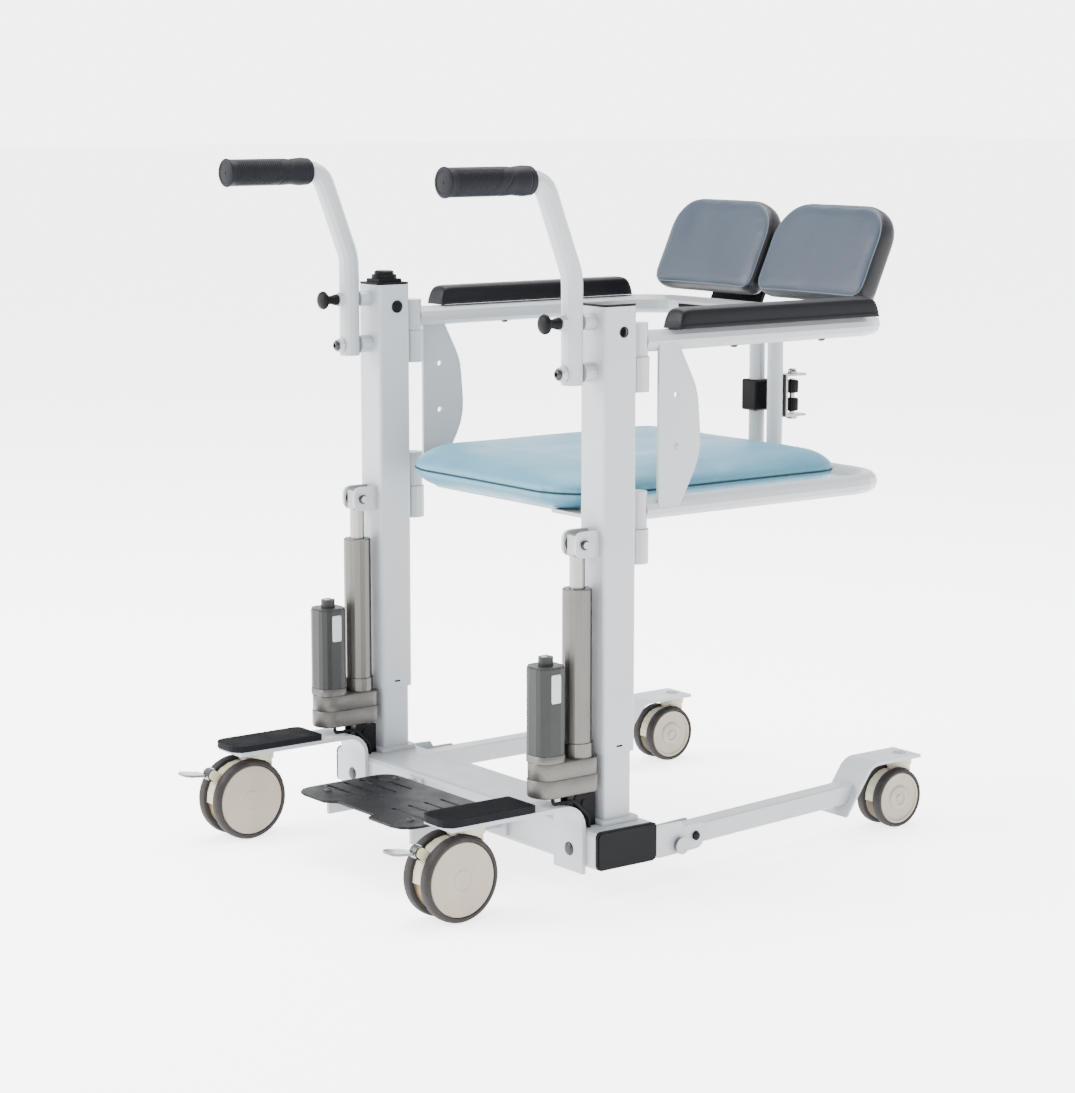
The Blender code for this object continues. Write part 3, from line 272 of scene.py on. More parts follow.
def make_back():
    """Back pad cover: grey-blue face, black border, parted at a set depth of the pad."""
    paint = leatherette("vinyl_back", (0.0200, 0.0285, 0.0425), 0.36, 620.0, 0.00012)
    paint.uniform(Specular_IOR_Level=0.22)
    black = paint.mix(paint.noise(300.0, 3.0), (0.0045, 0.0047, 0.0056), (0.0085, 0.0088, 0.0102))
    face = paint.ramp(paint.axis("Z"), PARTING_DEPTH - 0.0002, PARTING_DEPTH + 0.0002)
    return paint.colour(paint.mix(face, black, paint.painted()))


def make_foam():
    """Integral-skin foam: black, soft sheen, pebbled skin."""
    paint = leatherette("skin_foam", (0.0042, 0.0046, 0.0060), 0.34, 700.0, 0.00016)
    return paint.uniform(Sheen_Weight=0.02, Sheen_Roughness=0.4, Specular_IOR_Level=0.09)


def make_seat():
    """Seat cover: pale blue vinyl with a faint bloom."""
    paint = leatherette("vinyl_seat", (0.038, 0.158, 0.225), 0.42)
    return paint.uniform(Sheen_Weight=0.04, Sheen_Roughness=0.45)


# Depth where the back pad's face and black border part; the painted highlight line runs there too.
PARTING_DEPTH = 0.0300
WHITE = coated("powder_white", (0.275, 0.294, 0.312), 0.33).material
BLACK = moulded("plastic_black", (0.0042, 0.0044, 0.0052), 0.40).material
RUBBER = moulded("rubber_black", (0.0085, 0.0090, 0.0115), 0.46, 480.0, 0.0002, 0.25).material
STEEL = bright("zinc_plate", (0.24, 0.236, 0.228), 0.26, (1, 1, 1), 1500.0).material
DARK_STEEL = bright("black_oxide", (0.040, 0.040, 0.043), 0.34).material
CHROME = bright("chrome", (0.21, 0.22, 0.225), 0.14, (1, 1, 1), 90.0).material
PEDAL = bright("pedal_chrome", (0.115, 0.12, 0.125), 0.16, (1, 1, 1), 120.0).material
SILVER = bright("anodised", (0.104, 0.099, 0.090), 0.36, (1.0, 1.0, 0.02), 500.0).material
CAST = make_cast().material
MOTOR = make_motor().material
PLATE = make_plate().material
TREAD = moulded("tread_rubber", (0.0048, 0.0054, 0.0068), 0.66, 800.0, 0.00012, 0.35).material
CREAM = make_cream("nylon_cream", (0.34, 0.305, 0.215)).material
DISC = make_cream("nylon_disc", (0.235, 0.196, 0.150)).material
TAN = make_cream("nylon_tan", (0.145, 0.085, 0.030)).material
TYRE = make_tyre().material
SEAT = make_seat().material
# Dark teal: painted shade of the seat's seam groove; the board under the seat takes the same colour.
SEAM_SHADE = moulded("seam_shade_teal", (0.010, 0.028, 0.035), 0.55, 1500.0, 0.0002, 0.1).material
BACK = make_back().material
FOAM = make_foam().material
# Pale grey for the thin line round the back pad's face: a painted highlight of its edge.
EDGE_HIGHLIGHT = moulded("painted_highlight_grey", (0.075, 0.092, 0.112), 0.36, 1200.0, 0.0001, 0.1).material
CABLE = moulded("cable_black", (0.0075, 0.0075, 0.0085), 0.5, 900.0, 0.0001, 0.3).material
LABEL = coated("label_paper", (0.34, 0.345, 0.35), 0.45, 1500.0, 0.00004, 0.15).material

FINISHES = {
    "powder_coat_white": WHITE, "black_plastic": BLACK, "grip_rubber": RUBBER, "zinc_steel": STEEL,
    "anodised_aluminium": SILVER, "cast_housing": CAST, "motor_shell": MOTOR, "black_powder_coat": PLATE,
    "caster_plastic": CREAM, "tyre_rubber": TYRE, "seat_vinyl": SEAT, "back_vinyl": BACK,
}
EXCEPTIONS = {"tread_pad": TREAD, "actuator_cable": CABLE, "brake_pedal": PEDAL, "seat_support": WHITE}


def repaint():
    """Every CAD node gets its detailed material, and its sharp edges a small radius."""
    for name, obj in NODES.items():
        for slot in obj.material_slots:
            plain = slot.material.name.split(".")[0] if slot.material else ""
            slot.material = FINISHES.get(plain, WHITE)
        for start, material in EXCEPTIONS.items():
            if name.startswith(start):
                obj.material_slots[0].material = material
        soften = obj.modifiers.new("edge radius", "BEVEL")
        soften.width = 0.0005
        soften.segments = 2
        soften.limit_method = "ANGLE"
        soften.angle_limit = math.radians(40)
        soften.use_clamp_overlap = True
        soften.harden_normals = False


# ---------------------------------------------------------------- mesh tools

CLOTH_FRAMES = 20


def piece(name, bm, body, slot, material, place=None, sharp=38.0):
    """A mesh made into a dressed piece, with edges steeper than sharp degrees kept crisp."""
    mesh = bpy.data.meshes.new(name)
    bmesh.ops.recalc_face_normals(bm, faces=bm.faces[:])
    bm.to_mesh(mesh)
    bm.free()
    return dressed(name, mesh, body, material, place, sharp)


def dressed(name, mesh, body, material, place=None, sharp=38.0):
    """An object that shows a mesh, rides on a body and has a material."""
    for face in mesh.polygons:
        face.use_smooth = True
    mesh.set_sharp_from_angle(angle=math.radians(sharp))
    mesh.materials.clear()
    mesh.materials.append(material)
    obj = bpy.data.objects.new(name, mesh)
    bpy.context.scene.collection.objects.link(obj)
    obj.matrix_world = place or Matrix.Identity(4)
    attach(obj, body)
    return obj


def hexed(angle):
    """How far out a hexagon's side lies, next to a circle round it."""
    return math.cos(math.radians(30)) / math.cos((angle % math.radians(60)) - math.radians(30))


def lathe(profile, steps=48, socket=()):
    """A closed solid of revolution about Z. Rings whose index is in socket are six-sided."""
    bm = bmesh.new()
    rings = []
    for index, (radius, height) in enumerate(profile):
        if radius < 1e-6:
            rings.append([bm.verts.new((0, 0, height))])
            continue
        ring = []
        for step in range(steps):
            angle = 2 * math.pi * step / steps
            reach = radius * (hexed(angle) if index in socket else 1.0)
            ring.append(bm.verts.new((reach * math.cos(angle), reach * math.sin(angle), height)))
        rings.append(ring)
    for low, high in zip(rings, rings[1:]):
        for step in range(steps):
            after = (step + 1) % steps
            corners = [low[step % len(low)], low[after % len(low)]]
            corners += [high[after % len(high)], high[step % len(high)]]
            unique = list(dict.fromkeys(corners))
            if len(unique) > 2:
                bm.faces.new(unique)
    return bm


def walled(bm, rings):
    """Quads between each ring of points and the next."""
    for low, high in zip(rings, rings[1:]):
        for step in range(len(low)):
            after = (step + 1) % len(low)
            bm.faces.new((low[step], low[after], high[after], high[step]))


def surface(mesh):
    """A tree of the mesh's faces, for ray casts."""
    return BVHTree.FromPolygons([v.co for v in mesh.vertices], [p.vertices[:] for p in mesh.polygons])


def facing(point, direction):
    """A frame at point whose Z axis runs along direction."""
    turn = Vector((0, 0, 1)).rotation_difference(Vector(direction)).to_matrix().to_4x4()
    return Matrix.Translation(point) @ turn


def tube(points, radius, sides):
    """A swept tube round a closed path."""
    bm = bmesh.new()
    count = len(points)
    points = [Vector(point) for point in points]
    normal = None
    rings = []
    for index, here in enumerate(points):
        along = (points[(index + 1) % count] - points[index - 1]).normalized()
        if normal is None:
            normal = along.orthogonal().normalized()
        normal = (normal - along * normal.dot(along)).normalized()
        other = along.cross(normal)
        ring = []
        for step in range(sides):
            angle = 2 * math.pi * step / sides
            ring.append(bm.verts.new(here + (normal * math.cos(angle) + other * math.sin(angle)) * radius))
        rings.append(ring)
    gaps = [(vert.co - rings[-1][0].co).length for vert in rings[0]]
    turn = gaps.index(min(gaps))
    walled(bm, rings + [rings[0][turn:] + rings[0][:turn]])
    return bm


def outline(corners, spacing=0.006):
    """Evenly spaced points of a closed outline with rounded corners (a, b, radius)."""
    dense = []
    for index, (a, b, radius) in enumerate(corners):
        here = Vector((a, b))
        before = (Vector(corners[index - 1][:2]) - here).normalized()
        after = (Vector(corners[(index + 1) % len(corners)][:2]) - here).normalized()
        half = before.angle(after) / 2
        centre = here + (before + after).normalized() * (radius / math.sin(half))
        first = here + before * (radius / math.tan(half)) - centre
        sweep = first.angle_signed(here + after * (radius / math.tan(half)) - centre)
        dense += [centre + Matrix.Rotation(-sweep * step / 24, 2) @ first for step in range(25)]
    lengths = [(dense[(i + 1) % len(dense)] - dense[i]).length for i in range(len(dense))]
    total = sum(lengths)
    count = max(24, int(total / spacing))
    points, index, walked = [], 0, 0.0
    for step in range(count):
        target = total * step / count
        while walked + lengths[index] < target:
            walked += lengths[index]
            index += 1
        share = (target - walked) / max(lengths[index], 1e-9)
        points.append(dense[index].lerp(dense[(index + 1) % len(dense)], share))
    return points


def loft(rings):
    """A closed solid through equal rings of points, capped by fans at both ends."""
    bm = bmesh.new()
    made = [[bm.verts.new(point) for point in ring] for ring in rings]
    count = len(made[0])
    walled(bm, made)
    for ring, flip in ((made[0], True), (made[-1], False)):
        centre = bm.verts.new(sum((vert.co for vert in ring), Vector()) / count)
        for step in range(count):
            after = (step + 1) % count
            corners = (ring[step], ring[after], centre)
            bm.faces.new(corners[::-1] if flip else corners)
    return bm


def inset_ring(points, amount, height):
    """An outline drawn in by amount, at a height."""
    count = len(points)
    ring = []
    for index, here in enumerate(points):
        along = (points[(index + 1) % count] - points[index - 1]).normalized()
        inward = Vector((-along.y, along.x))
        ring.append(Vector((*(here + inward * amount), height)))
    return ring


def stacked(points, levels, base=0.0):
    """Rings of an outline, one for each (inset, height) level."""
    return [inset_ring(points, inset, base + height) for inset, height in levels]


def rectangle(a, b, half_a, half_b, radius, spacing):
    """A rounded rectangle's outline, centred at (a, b)."""
    signs = ((-1, -1), (1, -1), (1, 1), (-1, 1))
    return outline([(a + half_a * one, b + half_b * two, radius) for one, two in signs], spacing)


def limited(value):
    return min(1.0, max(0.0, value))


def inflated(name, bm, voxel, cap, pressure):
    """The cushion recipe: remeshed, blown up as cloth with no gravity, each point's move capped."""
    mesh = bpy.data.meshes.new(name)
    bmesh.ops.recalc_face_normals(bm, faces=bm.faces[:])
    bm.to_mesh(mesh)
    bm.free()
    obj = bpy.data.objects.new(name, mesh)
    bpy.context.scene.collection.objects.link(obj)
    remesh = obj.modifiers.new("remesh", "REMESH")
    remesh.mode = "VOXEL"
    remesh.voxel_size = voxel
    start = baked(obj)
    obj.modifiers.clear()
    obj.data = start
    rest = [vert.co.copy() for vert in start.vertices]
    cloth = obj.modifiers.new("cloth", "CLOTH")
    cloth.settings.quality = 6
    cloth.settings.mass = 0.3
    cloth.settings.tension_stiffness = 12
    cloth.settings.compression_stiffness = 12
    cloth.settings.shear_stiffness = 6
    cloth.settings.bending_stiffness = 0.6
    cloth.settings.use_pressure = True
    cloth.settings.uniform_pressure_force = pressure
    cloth.settings.effector_weights.gravity = 0
    cloth.collision_settings.use_self_collision = False
    for number in range(1, CLOTH_FRAMES + 1):
        bpy.context.scene.frame_set(number)
    blown = baked(obj)
    obj.modifiers.clear()
    obj.data = blown
    for vert, home in zip(blown.vertices, rest):
        move = vert.co - home
        if move.length > cap:
            vert.co = home + move.normalized() * cap
    bpy.context.scene.frame_set(1)
    eased = bmesh.new()
    eased.from_mesh(obj.data)
    for _ in range(3):
        bmesh.ops.smooth_vert(eased, verts=eased.verts, factor=0.5,
                              use_axis_x=True, use_axis_y=True, use_axis_z=True)
    eased.to_mesh(obj.data)
    eased.free()
    return obj


def baked(obj):
    """The object's mesh with its modifiers applied."""
    bpy.context.view_layer.update()
    graph = bpy.context.evaluated_depsgraph_get()
    return bpy.data.meshes.new_from_object(obj.evaluated_get(graph))


def divided(obj):
    """The object's mesh, subdivided once; the object itself is removed."""
    fine = obj.modifiers.new("smooth", "SUBSURF")
    fine.levels = 1
    fine.render_levels = 1
    mesh = baked(obj)
    bpy.data.objects.remove(obj, do_unlink=True)
    return mesh


# ---------------------------------------------------------------- upholstery


def seat_cushion():
    """One crowned seat: a seam round its side with a dark teal line of painted shade in its groove, puckers
    beside it, and a drawn-in border below.
    """
    low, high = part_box("seat_cushion")
    half, front, rear = high.x - 0.004, low.y + 0.004, high.y - 0.004
    corners = [(-half, front, 0.088), (half, front, 0.088), (half, rear, 0.048), (-half, rear, 0.048)]
    edge = outline(corners, 0.008)
    seam = low.z + 0.021
    rings = stacked(edge, ((0.030, 0.0012), (0.016, 0.0040), (0.007, 0.0105), (0.002, 0.0165)), low.z)
    upper = ((0.0, 0.0), (0.003, 0.0055), (0.010, 0.0115), (0.024, 0.0175), (0.050, 0.0215), (0.085, 0.0238))
    rings += stacked(edge, upper, seam)
    shape = inflated("seat_shape", loft(rings), 0.0055, 0.0045, 3.0)
    for vert in shape.data.vertices:
        point = vert.co
        off = abs(point.z - seam)
        near = math.exp(-((off / 0.009) ** 2))
        swing = math.atan2(point.y - SEAT_MIDDLE, point.x)
        pucker = math.sin(swing * 71 + 4 * noise.noise(Vector((swing * 3, 0.3, 0))))
        reach = Vector((point.x, point.y - SEAT_MIDDLE, 0))
        out = reach.normalized()
        side = limited((out.dot(reach) - 0.12) / 0.05)
        vert.co += out * (0.00035 * pucker * near - 0.0022 * math.exp(-((off / 0.0028) ** 2))) * side
        vert.co.z += 0.0011 * noise.noise(point * 13.0) * limited((point.z - seam) / 0.02)
        vert.co.z = max(vert.co.z, low.z + 0.0006)
    mesh = divided(shape)
    skin = surface(mesh)
    cushion = dressed("seat_upholstery", mesh, "carriage_R", SEAT)
    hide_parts("seat_cushion")
    path = []
    for point in inset_ring(edge, -0.02, seam):
        hit = skin.ray_cast(point, (Vector((0, SEAT_MIDDLE, seam)) - point).normalized())[0]
        if hit:
            path.append(hit + (point - hit).normalized() * 0.0004)
    # The dark teal tube in the seam's groove is painted shade.
    piece("seat_seam_shade_line", tube(path, 0.0012, 10), "carriage_R", "seat_vinyl", SEAM_SHADE)
    under = outline([(a * 0.70, 0.195 + (b - 0.195) * 0.72, 0.05) for a, b, r in corners], 0.02)
    board = stacked(under, ((0.001, -0.0002), (0.0, 0.0004), (0.0, 0.0015)), low.z)
    piece("seat_board", loft(board), "carriage_R", "seat_vinyl", SEAM_SHADE)


def back_pad(side, end):
    """A padded back rest: a flat stretched face in a thick black border, with a thin pale line between them
    that is a painted highlight of the face's edge.
    """
    lean = math.radians(24.8)
    across = Vector((side, 0, 0))
    up = Vector((0, math.sin(lean), math.cos(lean)))
    face = Vector((0, -math.cos(lean), math.sin(lean)))
    home = Matrix((across, up, face)).transposed().to_4x4()
    home.translation = Vector((side * 0.0015, 0.440, 0.6492))
    corners = [(0.001, 0.001, 0.018), (0.2005, 0.001, 0.018), (0.2005, 0.128, 0.045), (0.001, 0.128, 0.052)]
    edge = outline(corners, 0.005)
    levels = ((0.012, 0.0012), (0.005, 0.0030), (0.0015, 0.008), (0.0008, 0.017), (0.0015, 0.026),
              (0.0032, 0.0295), (0.0062, 0.0318), (0.016, 0.0330), (0.040, 0.0334))
    shape = inflated(f"back_shape_{end}", loft(stacked(edge, levels)), 0.0034, 0.0006, 1.0)
    for vert in shape.data.vertices:
        crown = limited((vert.co.z - 0.031) / 0.002)
        vert.co.z += 0.00030 * noise.noise(vert.co * 26.0) * crown
        vert.co.z = max(vert.co.z, 0.0004)
    mesh = divided(shape)
    skin = surface(mesh)
    path = []
    centre = Vector((0.1, 0.062, PARTING_DEPTH))
    for point in inset_ring(edge, -0.02, PARTING_DEPTH):
        hit = skin.ray_cast(point, (centre - point).normalized())[0]
        if hit:
            path.append(hit)
    if side < 0:
        mesh.flip_normals()
    pad = dressed(f"back_cushion_{end}", mesh, f"gate_{end}", BACK, home)
    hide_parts(f"back_pad_{end}")
    # The pale line round the face's edge is a painted highlight.
    piece(f"back_highlight_line_{end}", tube(path, 0.0007, 8), f"gate_{end}", "back_vinyl", EDGE_HIGHLIGHT, home)


def arm_pad(side, end):
    """A moulded arm rest: a lip along its foot, leaning sides, a crowned top and sloped ends."""
    low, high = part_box(f"arm_pad_{end}")
    middle = (low.x + high.x) / 2
    half = (high.x - low.x) / 2
    height = high.z - low.z
    section = [(0.955, 0.0), (0.995, 0.03), (1.0, 0.10), (0.995, 0.19), (0.955, 0.24), (0.945, 0.30)]
    section += [(0.925, 0.50), (0.895, 0.68), (0.84, 0.82), (0.74, 0.92), (0.56, 0.975), (0.30, 0.995)]
    profile = section + [(0.0, 1.0)] + [(-a, b) for a, b in reversed(section)]
    ends = ((0.0, 0.16, 0.94), (0.0006, 0.40, 0.965), (0.0030, 0.72, 0.98), (0.0062, 0.93, 0.99),
            (0.012, 1.0, 1.0))
    stations = [(low.y + out, tall, wide) for out, tall, wide in ends]
    for step in range(1, 24):
        stations.append((low.y + 0.012 + (high.y - low.y - 0.024) * step / 24, 1.0, 1.0))
    stations += [(high.y - out, tall, wide) for out, tall, wide in reversed(ends)]
    rings = []
    for y, tall, wide in stations:
        ring = []
        for share, rise in profile:
            swell = 1.0 + 0.006 * noise.noise(Vector((y * 9, share, side)))
            ring.append(Vector((middle + share * half * wide * swell, y, low.z + height * rise * tall)))
        rings.append(ring)
    obj = piece(f"arm_cushion_{end}", loft(rings), f"gate_{end}", "back_vinyl", FOAM)
    fine = obj.modifiers.new("smooth", "SUBSURF")
    fine.levels = 1
    fine.render_levels = 2
    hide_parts(f"arm_pad_{end}")
    for y in (0.188, 0.327):
        name = f"arm_screw_{end}_{round(y * 1000)}"
        screw(name, (side * COLUMN_X, y, 0.6225), (0, 0, -1), 0.0048, f"gate_{end}", DARK_STEEL)


# ---------------------------------------------------------------- fittings

SUNK = 0.0008


def screw(name, point, direction, radius, body, material, rise=0.6):
    """A button head with a six-sided socket."""
    tall = radius * rise
    profile = [(0, -SUNK), (radius, -SUNK), (radius, tall * 0.15), (radius * 0.94, tall * 0.45)]
    profile += [(radius * 0.78, tall * 0.80), (radius * 0.52, tall), (radius * 0.42, tall)]
    profile += [(radius * 0.40, tall * 0.25), (0, tall * 0.2)]
    piece(name, lathe(profile, 36, (6, 7)), body, "zinc_steel", material, facing(point, direction))


def dome(name, point, direction, radius, tall, body, slot, material):
    """A low domed cap."""
    profile = [(0, -SUNK), (radius, -SUNK), (radius, 0)]
    for step in range(1, 9):
        angle = math.radians(90) * step / 9
        profile.append((radius * math.cos(angle) ** 0.8, tall * math.sin(angle)))
    profile.append((0, tall))
    piece(name, lathe(profile, 36), body, slot, material, facing(point, direction))


def ring(name, point, direction, outer, inner, tall, body, slot, material):
    """A washer with softened edges."""
    soft = min(tall, outer - inner) * 0.25
    profile = [(inner, 0), (outer, 0), (outer, tall - soft), (outer - soft, tall), (inner + soft, tall)]
    profile += [(inner, tall - soft), (inner, 0)]
    bm = lathe(profile, 40)
    bmesh.ops.remove_doubles(bm, verts=bm.verts, dist=1e-6)
    piece(name, bm, body, slot, material, facing(point, direction))


def grip(side, end):
    """A moulded handlebar grip: fine ribs in a slanted panel, a swell, a flared cuff and a closed end."""
    low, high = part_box(f"handle_grip_{end}")
    length = high.y - low.y
    radius, rib_pitch = 0.0172, 0.0030
    around, along = 96, 190
    bm = bmesh.new()
    rings = []
    centre = Vector((side * COLUMN_X, 0, GRIP_HEIGHT))
    for index in range(along + 1):
        share = index / along
        y = low.y + length * share
        ringed = []
        for step in range(around):
            angle = 2 * math.pi * step / around
            reach = radius - 0.0010
            reach += 0.0010 * math.exp(-((share - 0.015) / 0.028) ** 2)
            reach -= 0.0006 * math.exp(-((share - 0.76) / 0.05) ** 2)
            reach += 0.0008 * math.exp(-((share - 0.90) / 0.06) ** 2)
            height = 0.5 + 0.5 * math.cos(angle - math.radians(90))
            stop = 0.50 + 0.16 * height
            for offset in (0.0, math.pi):
                spread = abs((angle - offset + math.pi) % (2 * math.pi) - math.pi)
                if spread < 1.05 and 0.075 < share < stop:
                    soft = min(1.0, (1.05 - spread) / 0.12, (share - 0.075) / 0.012, (stop - share) / 0.012)
                    reach -= 0.0009 * soft * (0.5 + 0.5 * math.cos(share * length * 2 * math.pi / rib_pitch))
            groove = abs(share - (0.60 + 0.17 * height))
            reach -= 0.0008 * math.exp(-((groove / 0.010) ** 2))
            reach -= 0.0007 * math.exp(-(((share - 0.925) / 0.007) ** 2))
            if share < 0.012:
                reach *= 0.90 + 0.10 * math.sqrt(share / 0.012)
            if share > 0.985:
                reach *= 1 - 0.07 * (share - 0.985) / 0.015
            out = Vector((reach * math.cos(angle), y, reach * math.sin(angle)))
            ringed.append(bm.verts.new(centre + out))
        rings.append(ringed)
    walled(bm, rings)
    bm.faces.new(rings[0])
    bm.faces.new(rings[-1][::-1])
    made = piece(f"grip_{end}", bm, f"handle_{end}", "grip_rubber", RUBBER, None, 60.0)
    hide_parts(f"handle_grip_{end}")
    start = (side * COLUMN_X, low.y + 0.0001, GRIP_HEIGHT)
    ring(f"grip_rim_{end}", start, (0, -1, 0), 0.0135, 0.0122, 0.0005, f"handle_{end}", "grip_rubber", RUBBER)
    dome(f"grip_plug_{end}", start, (0, -1, 0), 0.0024, 0.0006, f"handle_{end}", "grip_rubber", BLACK)


def wheel_pair(kind, side, end, y, radius, web, half, hub):
    """Two caster wheels: a tyre with rounded shoulders, a cream disc with a fine gap round it, a hub."""
    body = f"{kind}_axle_{end}"
    node = f"{kind}_wheels_{end}"
    x = side * LEG_X
    wide = half - web
    rim = radius * 0.865
    edge = rim - 0.0003
    shown = None
    for out, where in ((1, "out"), (-1, "in")):
        tag = f"{kind}_{end}_{where}"
        place = facing((x + out * web, y, radius), (out, 0, 0))
        tyre = [(rim, 0.0006), (radius * 0.93, 0.0004), (radius * 0.975, wide * 0.10)]
        tyre += [(radius * 0.995, wide * 0.24), (radius, wide * 0.42), (radius, wide * 0.60)]
        tyre += [(radius * 0.992, wide * 0.78)]
        tyre += [(radius * 0.968, wide * 0.92), (radius * 0.935, wide * 0.985), (radius * 0.905, wide)]
        tyre += [(rim + 0.0004, wide - 0.0003), (rim, wide - 0.0014), (rim, 0.0006)]
        bm = lathe(tyre, 96)
        bmesh.ops.remove_doubles(bm, verts=bm.verts, dist=1e-6)
        made = piece(f"tyre_{tag}", bm, body, "tyre_rubber", TYRE, place)
        shown = shown or made
        disc = [(0, 0.0022), (0.006, 0.0022), (0.009, 0.0016), (edge * 0.72, 0.0030), (edge, 0.0022)]
        disc += [(edge, wide - 0.0016), (edge - 0.0008, wide - 0.0007)]
        if kind == "front":
            disc += [(hub + 0.0010, wide - 0.0006), (hub + 0.0006, wide - 0.0009), (hub, wide - 0.0009)]
            disc += [(hub - 0.0004, wide - 0.0005), (0, wide - 0.0004)]
        else:
            disc += [(edge * 0.90, wide - 0.0010), (edge * 0.86, wide - 0.0024), (hub * 1.35, wide - 0.0028)]
            disc += [(hub * 1.22, wide - 0.0012), (hub, wide - 0.0006), (hub * 0.72, wide - 0.0005)]
            disc += [(hub * 0.66, wide - 0.0014), (hub * 0.44, wide - 0.0014), (hub * 0.38, wide - 0.0003)]
            disc += [(hub * 0.2, wide), (0, wide)]
        piece(f"disc_{tag}", lathe(disc, 96), body, "caster_plastic", DISC, place, 24.0)
    axle = [(0, -web - 0.002), (0.0042, -web - 0.002), (0.0042, web + 0.002), (0, web + 0.002)]
    piece(f"axle_{kind}_{end}", lathe(axle, 24), body, "zinc_steel", STEEL, facing((x, y, radius), (1, 0, 0)))
    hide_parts(node)


def lock_knob(side, end):
    """The handle's spring pin: a flat mushroom knob, a waisted neck, a bright stem through the tube."""
    body = f"plunger_{end}"
    low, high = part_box(f"lock_pin_{end}")
    place = facing((side * COLUMN_X, low.y, PIN_HEIGHT), (0, 1, 0))
    profile = [(0, 0), (0.0055, 0.0003), (0.0085, 0.0011), (0.0106, 0.0026), (0.0114, 0.0046)]
    profile += [(0.0110, 0.0066), (0.0094, 0.0082), (0.0070, 0.0094), (0.0058, 0.0110), (0.0053, 0.0140)]
    profile += [(0.0055, 0.0180)]
    profile += [(0.0066, 0.0205), (0.0070, 0.0225), (0.0070, 0.0245), (0, 0.0245)]
    knob = piece(f"lock_knob_{end}", lathe(profile, 56), body, "black_plastic", BLACK, place)
    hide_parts(f"lock_pin_{end}")
    reach = high.y - low.y
    stem = [(0, 0.0200), (0.0036, 0.0200), (0.0036, reach - 0.0006), (0.0030, reach), (0, reach)]
    piece(f"lock_stem_{end}", lathe(stem, 28), body, "zinc_steel", STEEL, place)


def latch_knobs():
    """Two ribbed thumb knobs on the latch's bright spindle, with a cap above and a disc below."""
    x, y, low, high = 0.0175, 0.471, 0.5045, 0.5485
    bm = lathe([(0, low), (0.0034, low), (0.0034, high), (0, high)], 28)
    spindle = piece("latch_spindle", bm, "latch", "zinc_steel", STEEL, Matrix.Translation((x, y, 0)))
    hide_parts("latch_knob")
    tall, points, ribs = 0.0170, 144, 18
    for name, foot in (("lower", 0.5065), ("upper", 0.5300)):
        bm = bmesh.new()
        rings = []
        for radius, height in ((0.0060, 0), (0.0080, 0.0006), (0.0085, 0.0022), (0.0085, tall - 0.0022),
                               (0.0080, tall - 0.0006), (0.0060, tall)):
            made = []
            for step in range(points):
                angle = 2 * math.pi * step / points
                reach = radius * (1 - 0.045 * (0.5 + 0.5 * math.cos(ribs * angle)) * (radius > 0.007))
                made.append(bm.verts.new((reach * math.cos(angle), reach * math.sin(angle), foot + height)))
            rings.append(made)
        walled(bm, rings)
        bm.faces.new(rings[0][::-1])
        bm.faces.new(rings[-1])
        piece(f"latch_knob_{name}", bm, "latch", "black_plastic", BLACK, Matrix.Translation((x, y, 0)))
    dome("latch_top", (x, y, 0.5562), (0, 0, 1), 0.0060, 0.0060, "latch", "zinc_steel", CHROME)
    ring("latch_disc", (x, y, 0.4994), (0, 0, -1), 0.0074, 0.0015, 0.0030, "latch", "zinc_steel", CHROME)


def brake_shoe(side, end):
    """The tan brake shoe that shows low between the front wheels."""
    y, z = FRONT_WHEEL["y"], FRONT_WHEEL["radius"]
    inner, half = 0.0310, 0.0078
    rings = []
    for step in range(13):
        angle = math.radians(168 + 62 * step / 12)
        outer = 0.0435 - 0.0015 * abs(step - 6) / 6
        eased = outer - 0.001
        out = Vector((0, math.cos(angle), math.sin(angle)))
        section = ((inner, -1), (inner, 1), (eased, 1), (outer, 0.8), (outer, -0.8), (eased, -1))
        rings.append([Vector((side * LEG_X + wide * half, y, z)) + out * reach for reach, wide in section])
    piece(f"brake_shoe_{end}", loft(rings), f"front_swivel_{end}", "caster_plastic", TAN)


def gearbox(side, end):
    """The cast gear housing: two shells that meet at a seam, with a motor collar above and a lug below."""
    x = side * COLUMN_X
    shown = None
    shells = (
        ("lower", 0.0215, ((0.0022, 0.1220), (0.0007, 0.1226), (0.0, 0.1240), (0.0, 0.1424), (0.0005, 0.1430))),
        ("upper", 0.0208, ((0.0006, 0.1430), (0.0, 0.1436), (0.0, 0.1615), (0.0006, 0.1625), (0.0018, 0.1630))),
    )
    for name, reach, levels in shells:
        rear = TUBE_Y + reach - 0.0005
        corners = [(x - reach, MOTOR_Y - reach, reach), (x + reach, MOTOR_Y - reach, reach)]
        corners += [(x + reach, rear, reach * 0.6), (x - reach, rear, reach * 0.6)]
        shell = loft(stacked(outline(corners, 0.0018), levels))
        made = piece(f"gear_{name}_{end}", shell, "base", "cast_housing", CAST, None, 50.0)
        shown = shown or made
    collar = rectangle(x, MOTOR_Y, 0.0195, 0.0195, 0.0125, 0.0018)
    collar = loft(stacked(collar, ((0.0, 0.1628), (0.0, 0.1708), (0.0008, 0.1716))))
    piece(f"gear_collar_{end}", collar, "base", "cast_housing", CAST, None, 50.0)
    lug = rectangle(x, TUBE_Y, 0.009, 0.008, 0.0015, 0.0015)
    lug = loft(stacked(lug, ((0.002, 0.1010), (0.0, 0.1025), (0.0, 0.1225))))
    piece(f"gear_lug_{end}", lug, "base", "cast_housing", CAST)
    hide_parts(f"actuator_gearbox_{end}")


